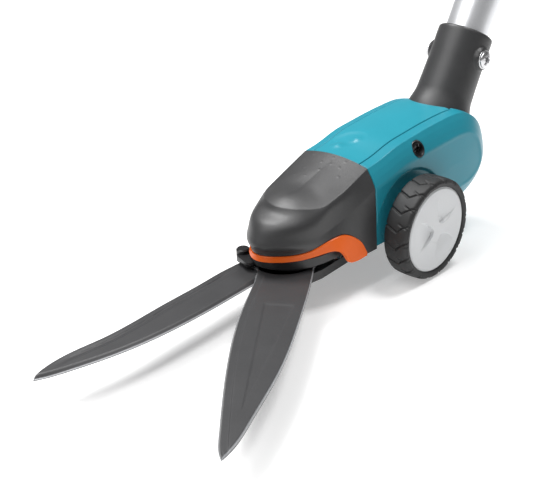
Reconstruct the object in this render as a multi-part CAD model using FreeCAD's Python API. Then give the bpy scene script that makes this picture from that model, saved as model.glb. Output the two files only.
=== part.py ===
"""Wheeled stand-up grass shears: a head with two blades that swivels on a wheeled body,
a tube handle, and a trigger that closes the upper blade through a push rod and a bell crank.

Millimetres. +Z up, -Y forward along the lower blade, +X to the tool's left.
Shapes are drawn about the middle of the wheel axle; export lifts them so that Z = 0 is the ground.
"""
import FreeCAD, Part
import math
import os

V = FreeCAD.Vector

# ---- driving dimensions -------------------------------------------------------------------
WALL = 2.5                 # plastic shell wall
FIT = 0.1                  # gap between fixed neighbours
RUN = 0.05                 # radial running clearance of a shaft in its hole
GAP = 0.5                  # gap between parts that move past each other

TYRE_RADIUS = 28.0
TYRE_WIDTH = 15.5          # left wheel
FAR_TYRE_WIDTH = 13.0      # right wheel: slimmer and closer to the body
TYRE_DEEP = 4.6            # rubber thickness over the hub's rim
WHEEL_CLEAR = 2.8          # between the body's side and the left wheel
FAR_WHEEL_CLEAR = 0.8
AXLE_RADIUS = 4.0

BODY_FRONT = -28.5         # Y of the body's front face, where the head turns
BODY_REAR = 78.0
BODY_FLOOR = -5.0
BODY_HALF = 28.4           # half width at the floor
SIDE_LEAN = 7.1            # how far the top ridges stand in from the floor edges
RIDGE_FRONT = 38.0         # height of the ridge where the head turns
RIDGE_TOP = 47.0           # height of the ridge over the wheels
CROWN = 2.5                # how far the top rises between the ridges
COVER_EDGE = 5.3           # from the ridge in to the top cover
TAIL = 34.0                # length of the closed tail behind the cover and the base plate
BASE_EDGE = 4.4            # from the floor edge in to the base plate
SCREW_SINK = 4.4           # screw seat below the body's side

NOSE_FRONT = -91.0
TRIM_PROUD = 0.5           # how far the trim band stands out of the nose

SWIVEL_Z = 14.0            # height of the head's swivel axis
SPIGOT_RADIUS = 9.0
STEM_RADIUS = 4.0

PIVOT_Y = -70.0            # blade pivot
PIVOT_RADIUS = 4.0
BLADE_THICK = 2.0
BLADE_TOP = -6.0           # top face of the upper blade
BLADE_GAP = 0.1            # between the two blades
LOWER_REACH = 151.0        # pivot to tip
UPPER_REACH = 167.5
BLADE_OPEN = 33.0          # angle between the blades at rest
BLADE_STROKE = 32.0        # how far the upper blade swings shut
CRANK_RADIUS = 11.5        # blade pivot to drive stud
STUD_RADIUS = 2.0

TUBE_LEAN = 31.4           # tube's lean back from vertical
TUBE_Y = 37.0              # where the tube axis meets the axle's height
TUBE_RADIUS = 12.5
TUBE_WALL = 1.2
TUBE_TOP = 755.0           # along the tube axis, from the axle's height
SOCKET_FOOT = 38.0
SOCKET_TOP = 95.5
SOCKET_WALL = 3.5          # at the top
SOCKET_FLARE = 1.0         # extra radius at the foot
BOLT_AT = 82.0             # cross bolt, along the tube axis
BOLT_RADIUS = 2.5

TRIGGER_ABOVE = 20.0       # trigger pin above the tube's top end
TRIGGER_ARM = 26.0         # trigger pin to rod pin
TRIGGER_STROKE = 22.0
TRIGGER_REACH = 96.0
PIN_RADIUS = 2.0           # rod pins
CRANK_ARM = 17.0           # bell crank pivot to rod pin
CRANK_PIN_RADIUS = 2.5     # bell crank and trigger pivots
CLAMP_LENGTH = 55.0        # tube held inside the handle
GRIP_LENGTH = 130.0        # from the trigger pin to the handle's top
GRIP_WALL = 4.5            # handle thickness over the tube
PAD_HALF = 9.0             # half width of the soft pad
LOCK_TRAVEL = 8.0
HANG_RADIUS = 4.5
HANG_THICK = 8.0

# ---- sizes that follow ----------------------------------------------------------------------
HUB_RADIUS = TYRE_RADIUS - TYRE_DEEP
SOCKET_RADIUS = TUBE_RADIUS + SOCKET_WALL
TRIGGER_AT = TUBE_TOP + TRIGGER_ABOVE
HANDLE_FOOT = TUBE_TOP - CLAMP_LENGTH
HANDLE_TOP = TRIGGER_AT + GRIP_LENGTH
GRIP_DEEP = TUBE_RADIUS + GRIP_WALL
GRIP_HALF = GRIP_DEEP - 1.0
ROD_STROKE = 2 * TRIGGER_ARM * math.tan(math.radians(TRIGGER_STROKE / 2))
CRANK_HALF = math.atan(ROD_STROKE / 2 / CRANK_ARM)
SLIDE_STROKE = 2 * CRANK_RADIUS * math.sin(math.radians(BLADE_STROKE / 2))
FORK_ARM = SLIDE_STROKE / 2 / math.sin(CRANK_HALF)
LEAN = math.radians(TUBE_LEAN)
CRANK_Z = SWIVEL_Z + FORK_ARM
ROD_MID_Z = CRANK_Z - CRANK_ARM * math.sin(LEAN)
ROD_MID = ROD_MID_Z / math.cos(LEAN)
CRANK_Y = TUBE_Y + ROD_MID * math.sin(LEAN) - CRANK_ARM * math.cos(LEAN)
ROD_LOW = ROD_MID + ROD_STROKE / 2
ROD_HIGH = TRIGGER_AT + ROD_STROKE / 2
LOWER_TOP = BLADE_TOP - BLADE_THICK - BLADE_GAP
LOWER_FLOOR = LOWER_TOP - BLADE_THICK
BODY_BACK_WALL = BODY_FRONT + WALL
STUD_Y = PIVOT_Y + CRANK_RADIUS * math.sin(math.radians(BLADE_STROKE / 2))
STUD_X = CRANK_RADIUS * math.cos(math.radians(BLADE_STROKE / 2))
RIDGE_HALF = BODY_HALF - SIDE_LEAN
COVER_HALF = RIDGE_HALF - COVER_EDGE
COVER_REAR = BODY_REAR - TAIL
BASE_HALF = BODY_HALF - BASE_EDGE
SCREW_SEAT = BODY_HALF - SCREW_SINK
FORK_DISC = 2.2
HEAD_BACK = BODY_FRONT - GAP
CARRIER_TOP = BLADE_TOP + 4.4
FOOT_TOP = CARRIER_TOP + 2.5


# ---- helpers ----------------------------------------------------------------------------------
def box(x0, x1, y0, y1, z0, z1):
    return Part.makeBox(x1 - x0, y1 - y0, z1 - z0, V(x0, y0, z0))


def rod_x(radius, x0, x1, y, z):
    return Part.makeCylinder(radius, x1 - x0, V(x0, y, z), V(1, 0, 0))


def rod_y(radius, y0, y1, x, z):
    return Part.makeCylinder(radius, y1 - y0, V(x, y0, z), V(0, 1, 0))


def rod_z(radius, z0, z1, x, y):
    return Part.makeCylinder(radius, z1 - z0, V(x, y, z0), V(0, 0, 1))


def prism(points, along):
    """Closed polygon of 3-D points, extruded by a vector."""
    return Part.Face(Part.makePolygon(list(points) + [points[0]])).extrude(along)


def side_prism(outline, x0, x1):
    """Outline in (y, z), extruded along X."""
    return prism([V(x0, y, z) for y, z in outline], V(x1 - x0, 0, 0))


def plan_prism(outline, z0, z1):
    """Outline in (x, y), extruded along Z."""
    return prism([V(x, y, z0) for x, y in outline], V(0, 0, z1 - z0))


def mirrored(shape):
    return shape.mirror(V(0, 0, 0), V(1, 0, 0))


def both_sides(outline):
    """Mirror a half outline of (x, other) points about x = 0."""
    return list(outline) + [(-x, other) for x, other in reversed(outline) if x]


def arc_edges(steps):
    """Edges from a start point through (point,) lines and (middle, end) arcs."""
    edges = []
    here = steps[0]
    for step in steps[1:]:
        if len(step) == 2:
            edges.append(Part.Arc(here, step[0], step[1]).toShape())
            here = step[1]
        else:
            edges.append(Part.LineSegment(here, step[0]).toShape())
            here = step[0]
    return edges


def fused(shapes):
    result = shapes[0]
    for shape in shapes[1:]:
        result = result.fuse(shape)
    return result.removeSplitter()


def on_tube(shape):
    """Place a shape drawn with +Z up the tube and +Y behind and below it."""
    placed = shape.copy()
    placed.rotate(V(0, 0, 0), V(1, 0, 0), -TUBE_LEAN)
    placed.translate(V(0, TUBE_Y, 0))
    return placed


# ---- body shells --------------------------------------------------------------------------------
def body_side(inset):
    """Side view of the body: straight floor, humped top, round tail."""
    floor = BODY_FLOOR + inset
    front = BODY_FRONT + inset
    rear = BODY_REAR - inset
    points = [
        V(0, front, floor),
        (V(0, COVER_REAR + 2, floor),),
        (V(0, rear - 11 + 0.3 * inset, 4 + 0.7 * inset), V(0, rear, 18)),
        (V(0, rear - 6.5 + 0.2 * inset, 37.5 - 0.7 * inset), V(0, COVER_REAR + 4, RIDGE_TOP + 3 - inset)),
        (V(0, COVER_REAR, RIDGE_TOP + 13),),
        (V(0, front, RIDGE_TOP + 13),),
        (V(0, front, floor),),
    ]
    face = Part.Face(Part.Wire(arc_edges(points)))
    face.translate(V(-BODY_HALF - 5, 0, 0))
    return face.extrude(V(2 * BODY_HALF + 10, 0, 0))


def body_section(y, floor_half, waist_half, ridge_half, ridge, inset):
    crown = ridge + CROWN - inset
    half = [(floor_half - inset, BODY_FLOOR - 1), (waist_half - inset, 29.0),
            (ridge_half - inset, ridge - inset), (9.0, crown - 0.6), (0.0, crown)]
    return Part.makePolygon([V(x, y, z) for x, z in both_sides(half)] + [V(half[0][0], y, half[0][1])])


def body_solid(inset):
    sections = [
        (BODY_FRONT - 2, BODY_HALF, BODY_HALF - 2.0, RIDGE_HALF, RIDGE_FRONT),
        (10, BODY_HALF + 0.2, BODY_HALF - 1.6, RIDGE_HALF, RIDGE_TOP - 2),
        (COVER_REAR + 6, BODY_HALF + 0.2, BODY_HALF - 1.6, RIDGE_HALF, RIDGE_TOP),
        (BODY_REAR + 2, BODY_HALF - 7.4, BODY_HALF - 8.4, RIDGE_HALF - 6.3, RIDGE_TOP - 2),
    ]
    loft = Part.makeLoft([body_section(*section, inset) for section in sections], True, True)
    return loft.common(body_side(inset))


def screw_places():
    """(y, z) of the screws that join the two shells: one high, two behind the wheel."""
    return [(9.2, RIDGE_TOP - 9), (-15.0, 3.0), (15.0, 3.0)]


def cover_zone(grow):
    return box(-COVER_HALF - grow, COVER_HALF + grow, BODY_FRONT - 1, COVER_REAR + grow,
               RIDGE_FRONT - 5, RIDGE_TOP + 23)


def body_parts():
    hollow = body_solid(0).cut(body_solid(WALL))
    hollow = hollow.cut(box(-BASE_HALF, BASE_HALF, BODY_FRONT + 6, COVER_REAR,
                            BODY_FLOOR - 2, BODY_FLOOR + WALL + 0.1))
    bosses = [rod_x(3.5, 0, SCREW_SEAT + 1.5, y, z) for y, z in screw_places()]
    bosses += [rod_x(5.0, 9.0, SCREW_SEAT + 1.5, CRANK_Y, CRANK_Z)]
    half = fused([hollow.common(box(0, 60, -200, 200, -60, 100))]
                 + [boss.common(body_solid(1.0)) for boss in bosses])
    half = half.cut(cover_zone(0))
    half = half.cut(rod_x(AXLE_RADIUS + FIT, -1, 60, 0, 0))
    half = half.cut(rod_x(CRANK_PIN_RADIUS + RUN, -1, SCREW_SEAT, CRANK_Y, CRANK_Z))
    half = half.cut(rod_y(SPIGOT_RADIUS + 2 + FIT, -60, BODY_BACK_WALL + 1, 0, SWIVEL_Z))
    half = half.cut(on_tube(rod_z(SOCKET_RADIUS + SOCKET_FLARE + 0.2, SOCKET_FOOT - 0.5, 140, 0, 0)))
    left = half
    right = mirrored(half)
    for y, z in screw_places():
        left = left.cut(rod_x(1.5 + FIT, -1, 60, y, z)).cut(rod_x(3.3 + FIT, SCREW_SEAT, 60, y, z))
        right = right.cut(rod_x(1.4, -18, 1, y, z))
    cover = hollow.common(cover_zone(-FIT))
    cover = cover.cut(on_tube(rod_z(SOCKET_RADIUS + SOCKET_FLARE + 0.2, SOCKET_FOOT, 140, 0, 0)))
    base = box(-BASE_HALF + FIT, BASE_HALF - FIT, BODY_FRONT + 6 + FIT, COVER_REAR - FIT,
               BODY_FLOOR, BODY_FLOOR + WALL)
    base = base.cut(rod_x(AXLE_RADIUS + FIT, -60, 60, 0, 0))
    screws = []
    for y, z in screw_places():
        head = rod_x(3.2, SCREW_SEAT + FIT, SCREW_SEAT + 2, y, z)
        screws.append(rod_x(1.35, -16, SCREW_SEAT + 0.2, y, z).fuse(head))
    pin = rod_x(CRANK_PIN_RADIUS, -SCREW_SEAT + 1, SCREW_SEAT - 1, CRANK_Y, CRANK_Z)
    return {
        "shell_left": left,
        "shell_right": right,
        "top_cover": cover,
        "base_plate": base,
        "shell_screws": Part.makeCompound(screws),
        "bellcrank_pin": pin,
    }


# ---- nose, trim band and carrier -----------------------------------------------------------------
def nose_half_plan():
    """Half outline of the nose seen from above, from the back corner to the tip."""
    shares = [(1.0, -20.0), (1.0, -38.0), (0.951, -53.0), (0.792, -66.0), (0.616, -77.0),
              (0.405, -86.0), (0.176, -90.2), (0.0, NOSE_FRONT)]
    return [(share * BODY_HALF, y) for share, y in shares]


def nose_solid(grow):
    """The nose as a block: plan, side and end views cut from each other, grown or shrunk."""
    plan = Part.Wire(Part.makePolygon([V(x, y, 0) for x, y in both_sides(nose_half_plan())]
                                      + [V(BODY_HALF, -20.0, 0)]))
    if grow:
        plan = plan.makeOffset2D(grow, 2)
    block = Part.Face(plan).extrude(V(0, 0, 80))
    block.translate(V(0, 0, -20))
    side = [
        V(0, -20, -8),
        (V(0, -20, 43.5 + grow),),
        (V(0, -74, 26.5 + grow),),
        (V(0, -87 - 0.7 * grow, 19.5 + 0.7 * grow), V(0, NOSE_FRONT - grow, 4)),
        (V(0, NOSE_FRONT - grow, -8),),
        (V(0, -20, -8),),
    ]
    side_block = Part.Face(Part.Wire(arc_edges(side)))
    side_block.translate(V(-60, 0, 0))
    block = block.common(side_block.extrude(V(120, 0, 0)))
    top = RIDGE_FRONT + grow
    half = [(BODY_HALF + grow, -9.0), (BODY_HALF - 2.0 + grow, 29.0), (RIDGE_HALF + grow, top),
            (9.0, top + CROWN - 0.1), (0.0, top + CROWN + 0.5)]
    end = prism([V(x, -120, z) for x, z in both_sides(half)], V(0, 110, 0))
    return block.common(end)


TRIM_UPPER = [(-100, 5.0), (-66.0, 5.0), (-59.5, 12.0), (-53.5, 11.8), (-38.7, -1.0)]
TRIM_LOWER = [(-38.7, -5.9), (-51.0, -5.9), (-53.6, -4.0), (-60.0, 4.0), (-65.0, 1.8), (-70.0, 1.0),
              (-100, 1.0)]


def head_covers():
    front_only = box(-60, 60, -120, HEAD_BACK, -30, 80)
    skin = nose_solid(0).cut(nose_solid(-WALL)).common(front_only)
    above = [(-100, 5.0 + FIT), (-66.0 - FIT, 5.0 + FIT), (-59.5 - FIT, 12.0 + FIT), (-53.5, 11.8 + FIT),
             (-38.7 + FIT, -1.0 + FIT), (-38.7 + FIT, BODY_FLOOR), (-20, BODY_FLOOR), (-20, 70), (-100, 70)]
    nose = skin.common(side_prism(above, -60, 60))
    band = nose_solid(TRIM_PROUD).cut(nose_solid(-2.0))
    trim = band.common(side_prism(TRIM_UPPER + TRIM_LOWER, -60, 60)).common(front_only)
    return {"nose_cap": nose, "trim_band": trim}


def rivet_places():
    return [(-11.0, PIVOT_Y + 27), (11.0, PIVOT_Y + 27)]


def head_frame_parts():
    shoulder = SPIGOT_RADIUS + 4
    flange = box(-17, 17, HEAD_BACK - 3, HEAD_BACK, CARRIER_TOP, 34)
    flange = flange.fuse(box(-17, 17, -60, HEAD_BACK, CARRIER_TOP, FOOT_TOP))
    spigot = rod_y(SPIGOT_RADIUS - RUN, HEAD_BACK - 1, BODY_BACK_WALL + 7.5, 0, SWIVEL_Z)
    frame = fused([flange, spigot])
    frame = frame.cut(rod_y(STEM_RADIUS + RUN, -80, 0, 0, SWIVEL_Z))
    for x, y in rivet_places():
        frame = frame.cut(rod_z(2.5 + FIT, -40, 10, x, y))
    frame = frame.cut(rod_y(SPIGOT_RADIUS + 1, BODY_BACK_WALL + 5.8, BODY_BACK_WALL + 6.9, 0, SWIVEL_Z)
                      .cut(rod_y(SPIGOT_RADIUS - 1, -60, 0, 0, SWIVEL_Z)))
    clip = rod_y(shoulder - 2, BODY_BACK_WALL + 5.9, BODY_BACK_WALL + 6.8, 0, SWIVEL_Z)
    clip = clip.cut(rod_y(SPIGOT_RADIUS - 1 + RUN, -60, 0, 0, SWIVEL_Z))
    bush = rod_y(SPIGOT_RADIUS + 2, BODY_FRONT, BODY_BACK_WALL + 5.5, 0, SWIVEL_Z)
    bush = bush.cut(rod_y(SPIGOT_RADIUS, -60, 0, 0, SWIVEL_Z))
    return {"swivel_frame": frame, "swivel_clip": clip, "swivel_bush": bush}


def carrier_parts():
    floor = BLADE_TOP + 0.3
    top = CARRIER_TOP
    outline = both_sides([(21.0, PIVOT_Y + 34), (21.5, PIVOT_Y + 8), (19.0, PIVOT_Y - 6),
                          (12.0, PIVOT_Y - 14.5), (0.0, PIVOT_Y - 18)])
    carrier = plan_prism(outline, floor, top)
    for x, y in rivet_places():
        carrier = carrier.fuse(rod_z(5.0, LOWER_TOP, floor + 0.5, x, y))
        carrier = carrier.cut(rod_z(2.5 + FIT, -40, 10, x, y))
    flange = STUD_RADIUS + 1 + GAP
    swing = CRANK_RADIUS * math.sin(math.radians(BLADE_STROKE / 2)) + flange
    carrier = carrier.cut(box(STUD_X - flange, CRANK_RADIUS + flange,
                              PIVOT_Y - swing, PIVOT_Y + swing, -40, 10))
    carrier = carrier.cut(rod_z(PIVOT_RADIUS + RUN, -40, 10, 0, PIVOT_Y))
    sole = both_sides([(15.0, PIVOT_Y + 33), (17.0, PIVOT_Y + 10), (15.0, PIVOT_Y - 6), (8.0, PIVOT_Y - 13),
                       (0.0, PIVOT_Y - 15)])
    shoe = plan_prism(sole, LOWER_FLOOR - 5.0, LOWER_FLOOR)
    shoe = shoe.cut(rod_z(8.0, LOWER_FLOOR - 3.8, LOWER_FLOOR + 1, 0, PIVOT_Y))
    rivets = []
    for x, y in rivet_places():
        shoe = shoe.cut(rod_z(4.2, LOWER_FLOOR - 1.8, LOWER_FLOOR + 1, x, y))
        rivet = rod_z(2.5, LOWER_FLOOR - 0.2, FOOT_TOP + 0.2, x, y)
        rivet = rivet.fuse(rod_z(4.0, FOOT_TOP, FOOT_TOP + 1.2, x, y))
        rivet = rivet.fuse(rod_z(4.0, LOWER_FLOOR - 1.5, LOWER_FLOOR, x, y))
        rivets.append(rivet)
    bolt = rod_z(PIVOT_RADIUS, LOWER_FLOOR - 3.6, top + 0.5, 0, PIVOT_Y)
    bolt = bolt.fuse(rod_z(7.0, top, top + 2.5, 0, PIVOT_Y))
    washer = rod_z(7.0, LOWER_FLOOR - 0.9, LOWER_FLOOR - 0.1, 0, PIVOT_Y).cut(
        rod_z(PIVOT_RADIUS + RUN, -40, 10, 0, PIVOT_Y))
    nut = prism([V(7.0 * math.cos(math.radians(60 * i)), PIVOT_Y + 7.0 * math.sin(math.radians(60 * i)),
                   LOWER_FLOOR - 3.6) for i in range(6)], V(0, 0, 2.6))
    nut = nut.cut(rod_z(PIVOT_RADIUS + RUN, -40, 10, 0, PIVOT_Y))
    return {
        "blade_carrier": carrier.removeSplitter(),
        "glide_shoe": shoe,
        "blade_rivets": Part.makeCompound(rivets),
        "pivot_bolt": bolt.removeSplitter(),
        "spring_washer": washer,
        "pivot_nut": nut,
    }


# ---- blades --------------------------------------------------------------------------------------
def blade_outline(back, cutting, reach):
    """Face of a blade: +X from pivot to tip, +Y to its back, splines along both edges."""
    tip = V(reach, back[-1][1] - 1.5, 0)
    back_points = [V(x, y, 0) for x, y in back]
    cut_points = [V(x, y, 0) for x, y in cutting]
    back_curve = Part.BSplineCurve()
    back_curve.interpolate(back_points)
    cut_curve = Part.BSplineCurve()
    cut_curve.interpolate(cut_points)
    edges = [
        back_curve.toShape(),
        Part.LineSegment(back_points[-1], tip).toShape(),
        Part.LineSegment(tip, cut_points[0]).toShape(),
        cut_curve.toShape(),
        Part.LineSegment(cut_points[-1], back_points[0]).toShape(),
    ]
    return Part.Face(Part.Wire(edges))


def placed_blade(face, floor, heading, flip):
    blade = face.extrude(V(0, 0, BLADE_THICK))
    if flip:
        blade = blade.mirror(V(0, 0, 0), V(0, 1, 0))
    blade.rotate(V(0, 0, 0), V(0, 0, 1), heading)
    blade.translate(V(0, PIVOT_Y, floor))
    return blade


def blade_parts():
    lower = blade_outline(
        [(14.0, 19.5), (44.0, 17.0), (72.0, 14.8), (111.0, 11.9), (LOWER_REACH - 1.0, 9.4)],
        [(LOWER_REACH - 3.0, 6.6), (135.0, 2.3), (111.0, -3.0), (77.0, -5.3), (48.0, -4.0), (14.0, -2.0)],
        LOWER_REACH)
    lower = placed_blade(lower, LOWER_FLOOR, -90.0, True)
    tang = plan_prism([(-18.5, PIVOT_Y - 14.5), (2.0, PIVOT_Y - 14.5), (13.0, PIVOT_Y - 8.0),
                       (15.5, PIVOT_Y + 10), (15.5, PIVOT_Y + 32.5), (-15.5, PIVOT_Y + 32.5),
                       (-17.0, PIVOT_Y + 10)], LOWER_FLOOR, LOWER_TOP)
    lower = fused([lower, tang]).cut(rod_z(PIVOT_RADIUS + RUN, -40, 10, 0, PIVOT_Y))
    for x, y in rivet_places():
        lower = lower.cut(rod_z(2.5 + FIT, -40, 10, x, y))
    upper = blade_outline(
        [(6.0, 16.5), (32.0, 18.0), (57.0, 18.4), (104.4, 17.4), (142.9, 12.7), (UPPER_REACH - 1.0, 8.2)],
        [(UPPER_REACH - 3.0, 4.4), (154.0, 2.4), (127.0, -2.6), (88.0, -8.5), (51.0, -11.2), (12.0, -11.5)],
        UPPER_REACH)
    upper = placed_blade(upper, BLADE_TOP - BLADE_THICK, BLADE_OPEN - 90.0, False)
    boss = rod_z(17.0, BLADE_TOP - BLADE_THICK, BLADE_TOP, 0, PIVOT_Y)
    upper = fused([upper, boss]).cut(rod_z(PIVOT_RADIUS + RUN, -40, 10, 0, PIVOT_Y))
    upper = upper.cut(rod_z(STUD_RADIUS + 0.02, -40, 10, STUD_X, STUD_Y))
    stud = rod_z(STUD_RADIUS, BLADE_TOP - BLADE_THICK, 8.0, STUD_X, STUD_Y)
    stud = stud.fuse(rod_z(STUD_RADIUS + 1.0, BLADE_TOP, BLADE_TOP + 1.5, STUD_X, STUD_Y))
    return {"lower_blade": lower, "upper_blade": upper, "drive_stud": stud}


# ---- drive -----------------------------------------------------------------------------------------
def drive_parts():
    fork_y = CRANK_Y + FORK_ARM * math.sin(CRANK_HALF)
    stem = rod_y(STEM_RADIUS, -56, fork_y + 4.6, 0, SWIVEL_Z)
    groove = rod_y(STEM_RADIUS + 1, fork_y - FORK_DISC - 0.15, fork_y + FORK_DISC + 0.15, 0, SWIVEL_Z)
    stem = stem.cut(groove.cut(rod_y(2.3, -80, 80, 0, SWIVEL_Z)))
    riser = box(-4, 4, -60, -53, 3.6, SWIVEL_Z + STEM_RADIUS - 0.5)
    prong = STUD_RADIUS + 2.0
    head = plan_prism([(-5, -53), (-5, STUD_Y), (STUD_X - 4.5, STUD_Y - prong),
                       (STUD_X + 1.0, STUD_Y - prong), (STUD_X + 2.4, STUD_Y - prong + 1.4),
                       (STUD_X + 2.4, STUD_Y + prong), (5, -53)], 3.6, 7.4)
    slider = fused([stem, riser, head])
    slider = slider.cut(box(STUD_X - STUD_RADIUS - 0.3, 40, STUD_Y - STUD_RADIUS - 0.15,
                            STUD_Y + STUD_RADIUS + 0.15, 0, 10))

    def crank_point(angle, length):
        return CRANK_Y + length * math.cos(angle), CRANK_Z + length * math.sin(angle)

    rod_angle = -LEAN + CRANK_HALF
    fork_angle = -math.pi / 2 + CRANK_HALF
    rod_end = crank_point(rod_angle, CRANK_ARM * (1 + 1 / math.cos(CRANK_HALF)) / 2)
    fork_end = crank_point(fork_angle, FORK_ARM)
    cheek = rod_x(5.0, 2.6, 5.0, CRANK_Y, CRANK_Z)
    for end, radius, root, tip in ((rod_end, 4.5, 3.2, 4.2), (fork_end, FORK_DISC, 1.6, 1.2)):
        along = V(0, end[0] - CRANK_Y, end[1] - CRANK_Z)
        length = along.Length
        along.normalize()
        side = V(0, -along.z, along.y)
        centre = V(2.6, CRANK_Y, CRANK_Z)
        corners = [centre + side * root, centre - side * root,
                   centre + along * length - side * tip, centre + along * length + side * tip]
        cheek = cheek.fuse(prism(corners, V(2.4, 0, 0)))
        cheek = cheek.fuse(rod_x(radius, 2.6, 5.0, end[0], end[1]))
    crank = fused([cheek, mirrored(cheek), rod_x(5.0, -5.0, 5.0, CRANK_Y, CRANK_Z)])
    crank = crank.cut(rod_x(CRANK_PIN_RADIUS + RUN, -30, 30, CRANK_Y, CRANK_Z))
    slot_along = V(0, math.cos(rod_angle), math.sin(rod_angle))
    slot_side = V(0, -slot_along.z, slot_along.y) * (PIN_RADIUS + 0.15)
    slot_centre = V(-10, rod_end[0], rod_end[1])
    slot = prism([slot_centre - slot_along * 2.8 - slot_side, slot_centre + slot_along * 2.8 - slot_side,
                  slot_centre + slot_along * 2.8 + slot_side, slot_centre - slot_along * 2.8 + slot_side],
                 V(20, 0, 0))
    crank = crank.cut(slot)

    bar = box(-1.25, 1.25, -4.5, 4.5, ROD_LOW - 4.5, ROD_HIGH + 4.5)
    bar = bar.cut(box(-2, 2, -BOLT_RADIUS - 0.4, BOLT_RADIUS + 0.4, BOLT_AT - BOLT_RADIUS - 0.6,
                      BOLT_AT + ROD_STROKE + BOLT_RADIUS + 0.6))
    pins = []
    for at, half in ((ROD_LOW, 6.0), (ROD_HIGH, 7.6)):
        bar = bar.cut(rod_x(PIN_RADIUS + 0.02, -5, 5, 0, at))
        pins.append(rod_x(PIN_RADIUS, -half, half, 0, at))
    return {
        "drive_slider": slider,
        "bellcrank": crank,
        "push_rod": on_tube(bar),
        "rod_pins": on_tube(Part.makeCompound(pins)),
    }


# ---- tube and socket ---------------------------------------------------------------------------------
def tube_parts():
    boss_end = SOCKET_RADIUS + 1.6
    cone = Part.makeCone(SOCKET_RADIUS + SOCKET_FLARE, SOCKET_RADIUS, SOCKET_TOP - SOCKET_FOOT,
                         V(0, 0, SOCKET_FOOT))
    socket = fused([cone, rod_x(6.5, -boss_end, boss_end, 0, BOLT_AT)])
    socket = socket.cut(rod_z(TUBE_RADIUS + RUN, SOCKET_FOOT + 2, 200, 0, 0))
    socket = socket.cut(box(-7, 7, -7, 7, 0, 60))
    tube = rod_z(TUBE_RADIUS, SOCKET_FOOT + 2, TUBE_TOP, 0, 0)
    tube = tube.cut(rod_z(TUBE_RADIUS - TUBE_WALL, 0, TUBE_TOP + 10, 0, 0))
    hole = rod_x(BOLT_RADIUS + FIT, -40, 40, 0, BOLT_AT)
    bolt = rod_x(BOLT_RADIUS, -boss_end - 3.0, boss_end + 0.5, 0, BOLT_AT)
    bolt = bolt.fuse(rod_x(4.6, boss_end, boss_end + 2.6, 0, BOLT_AT))
    corners = [math.radians(60 * i) for i in range(6)]
    nut = prism([V(-boss_end, 4.6 * math.cos(a), BOLT_AT + 4.6 * math.sin(a)) for a in corners], V(-3.0, 0, 0))
    nut = nut.cut(rod_x(BOLT_RADIUS + 0.02, -40, 40, 0, BOLT_AT))
    return {
        "tube_socket": on_tube(socket.cut(hole)),
        "tube": on_tube(tube.cut(hole)),
        "socket_bolt": on_tube(bolt),
        "socket_nut": on_tube(nut),
    }


# ---- handle --------------------------------------------------------------------------------------------
def grip_block(inset, half):
    """Grip outline in (d, s), extruded across X; d is behind and below the tube."""
    d = GRIP_DEEP - inset
    low = HANDLE_FOOT + inset
    high = HANDLE_TOP - inset
    steps = [
        V(-half, d - 2, low),
        (V(-half, d - 2, TUBE_TOP),),
        (V(-half, d - 3.5, HANDLE_TOP - 55), V(-half, d - 1, high - 8)),
        (V(-half, 6, high), V(-half, 0, high)),
        (V(-half, -d + 6, high - 3), V(-half, -d, high - 14)),
        (V(-half, -d - 1.5, HANDLE_TOP - 75), V(-half, -d + 1, TUBE_TOP)),
        (V(-half, -d + 2, low),),
        (V(-half, d - 2, low),),
    ]
    return Part.Face(Part.Wire(arc_edges(steps))).extrude(V(2 * half, 0, 0))


def handle_screw_places():
    return [(0.0, HANDLE_TOP - 63), (5.5 - GRIP_DEEP, HANDLE_TOP - 16), (TUBE_RADIUS + 2.9, HANDLE_FOOT + 15)]


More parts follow.
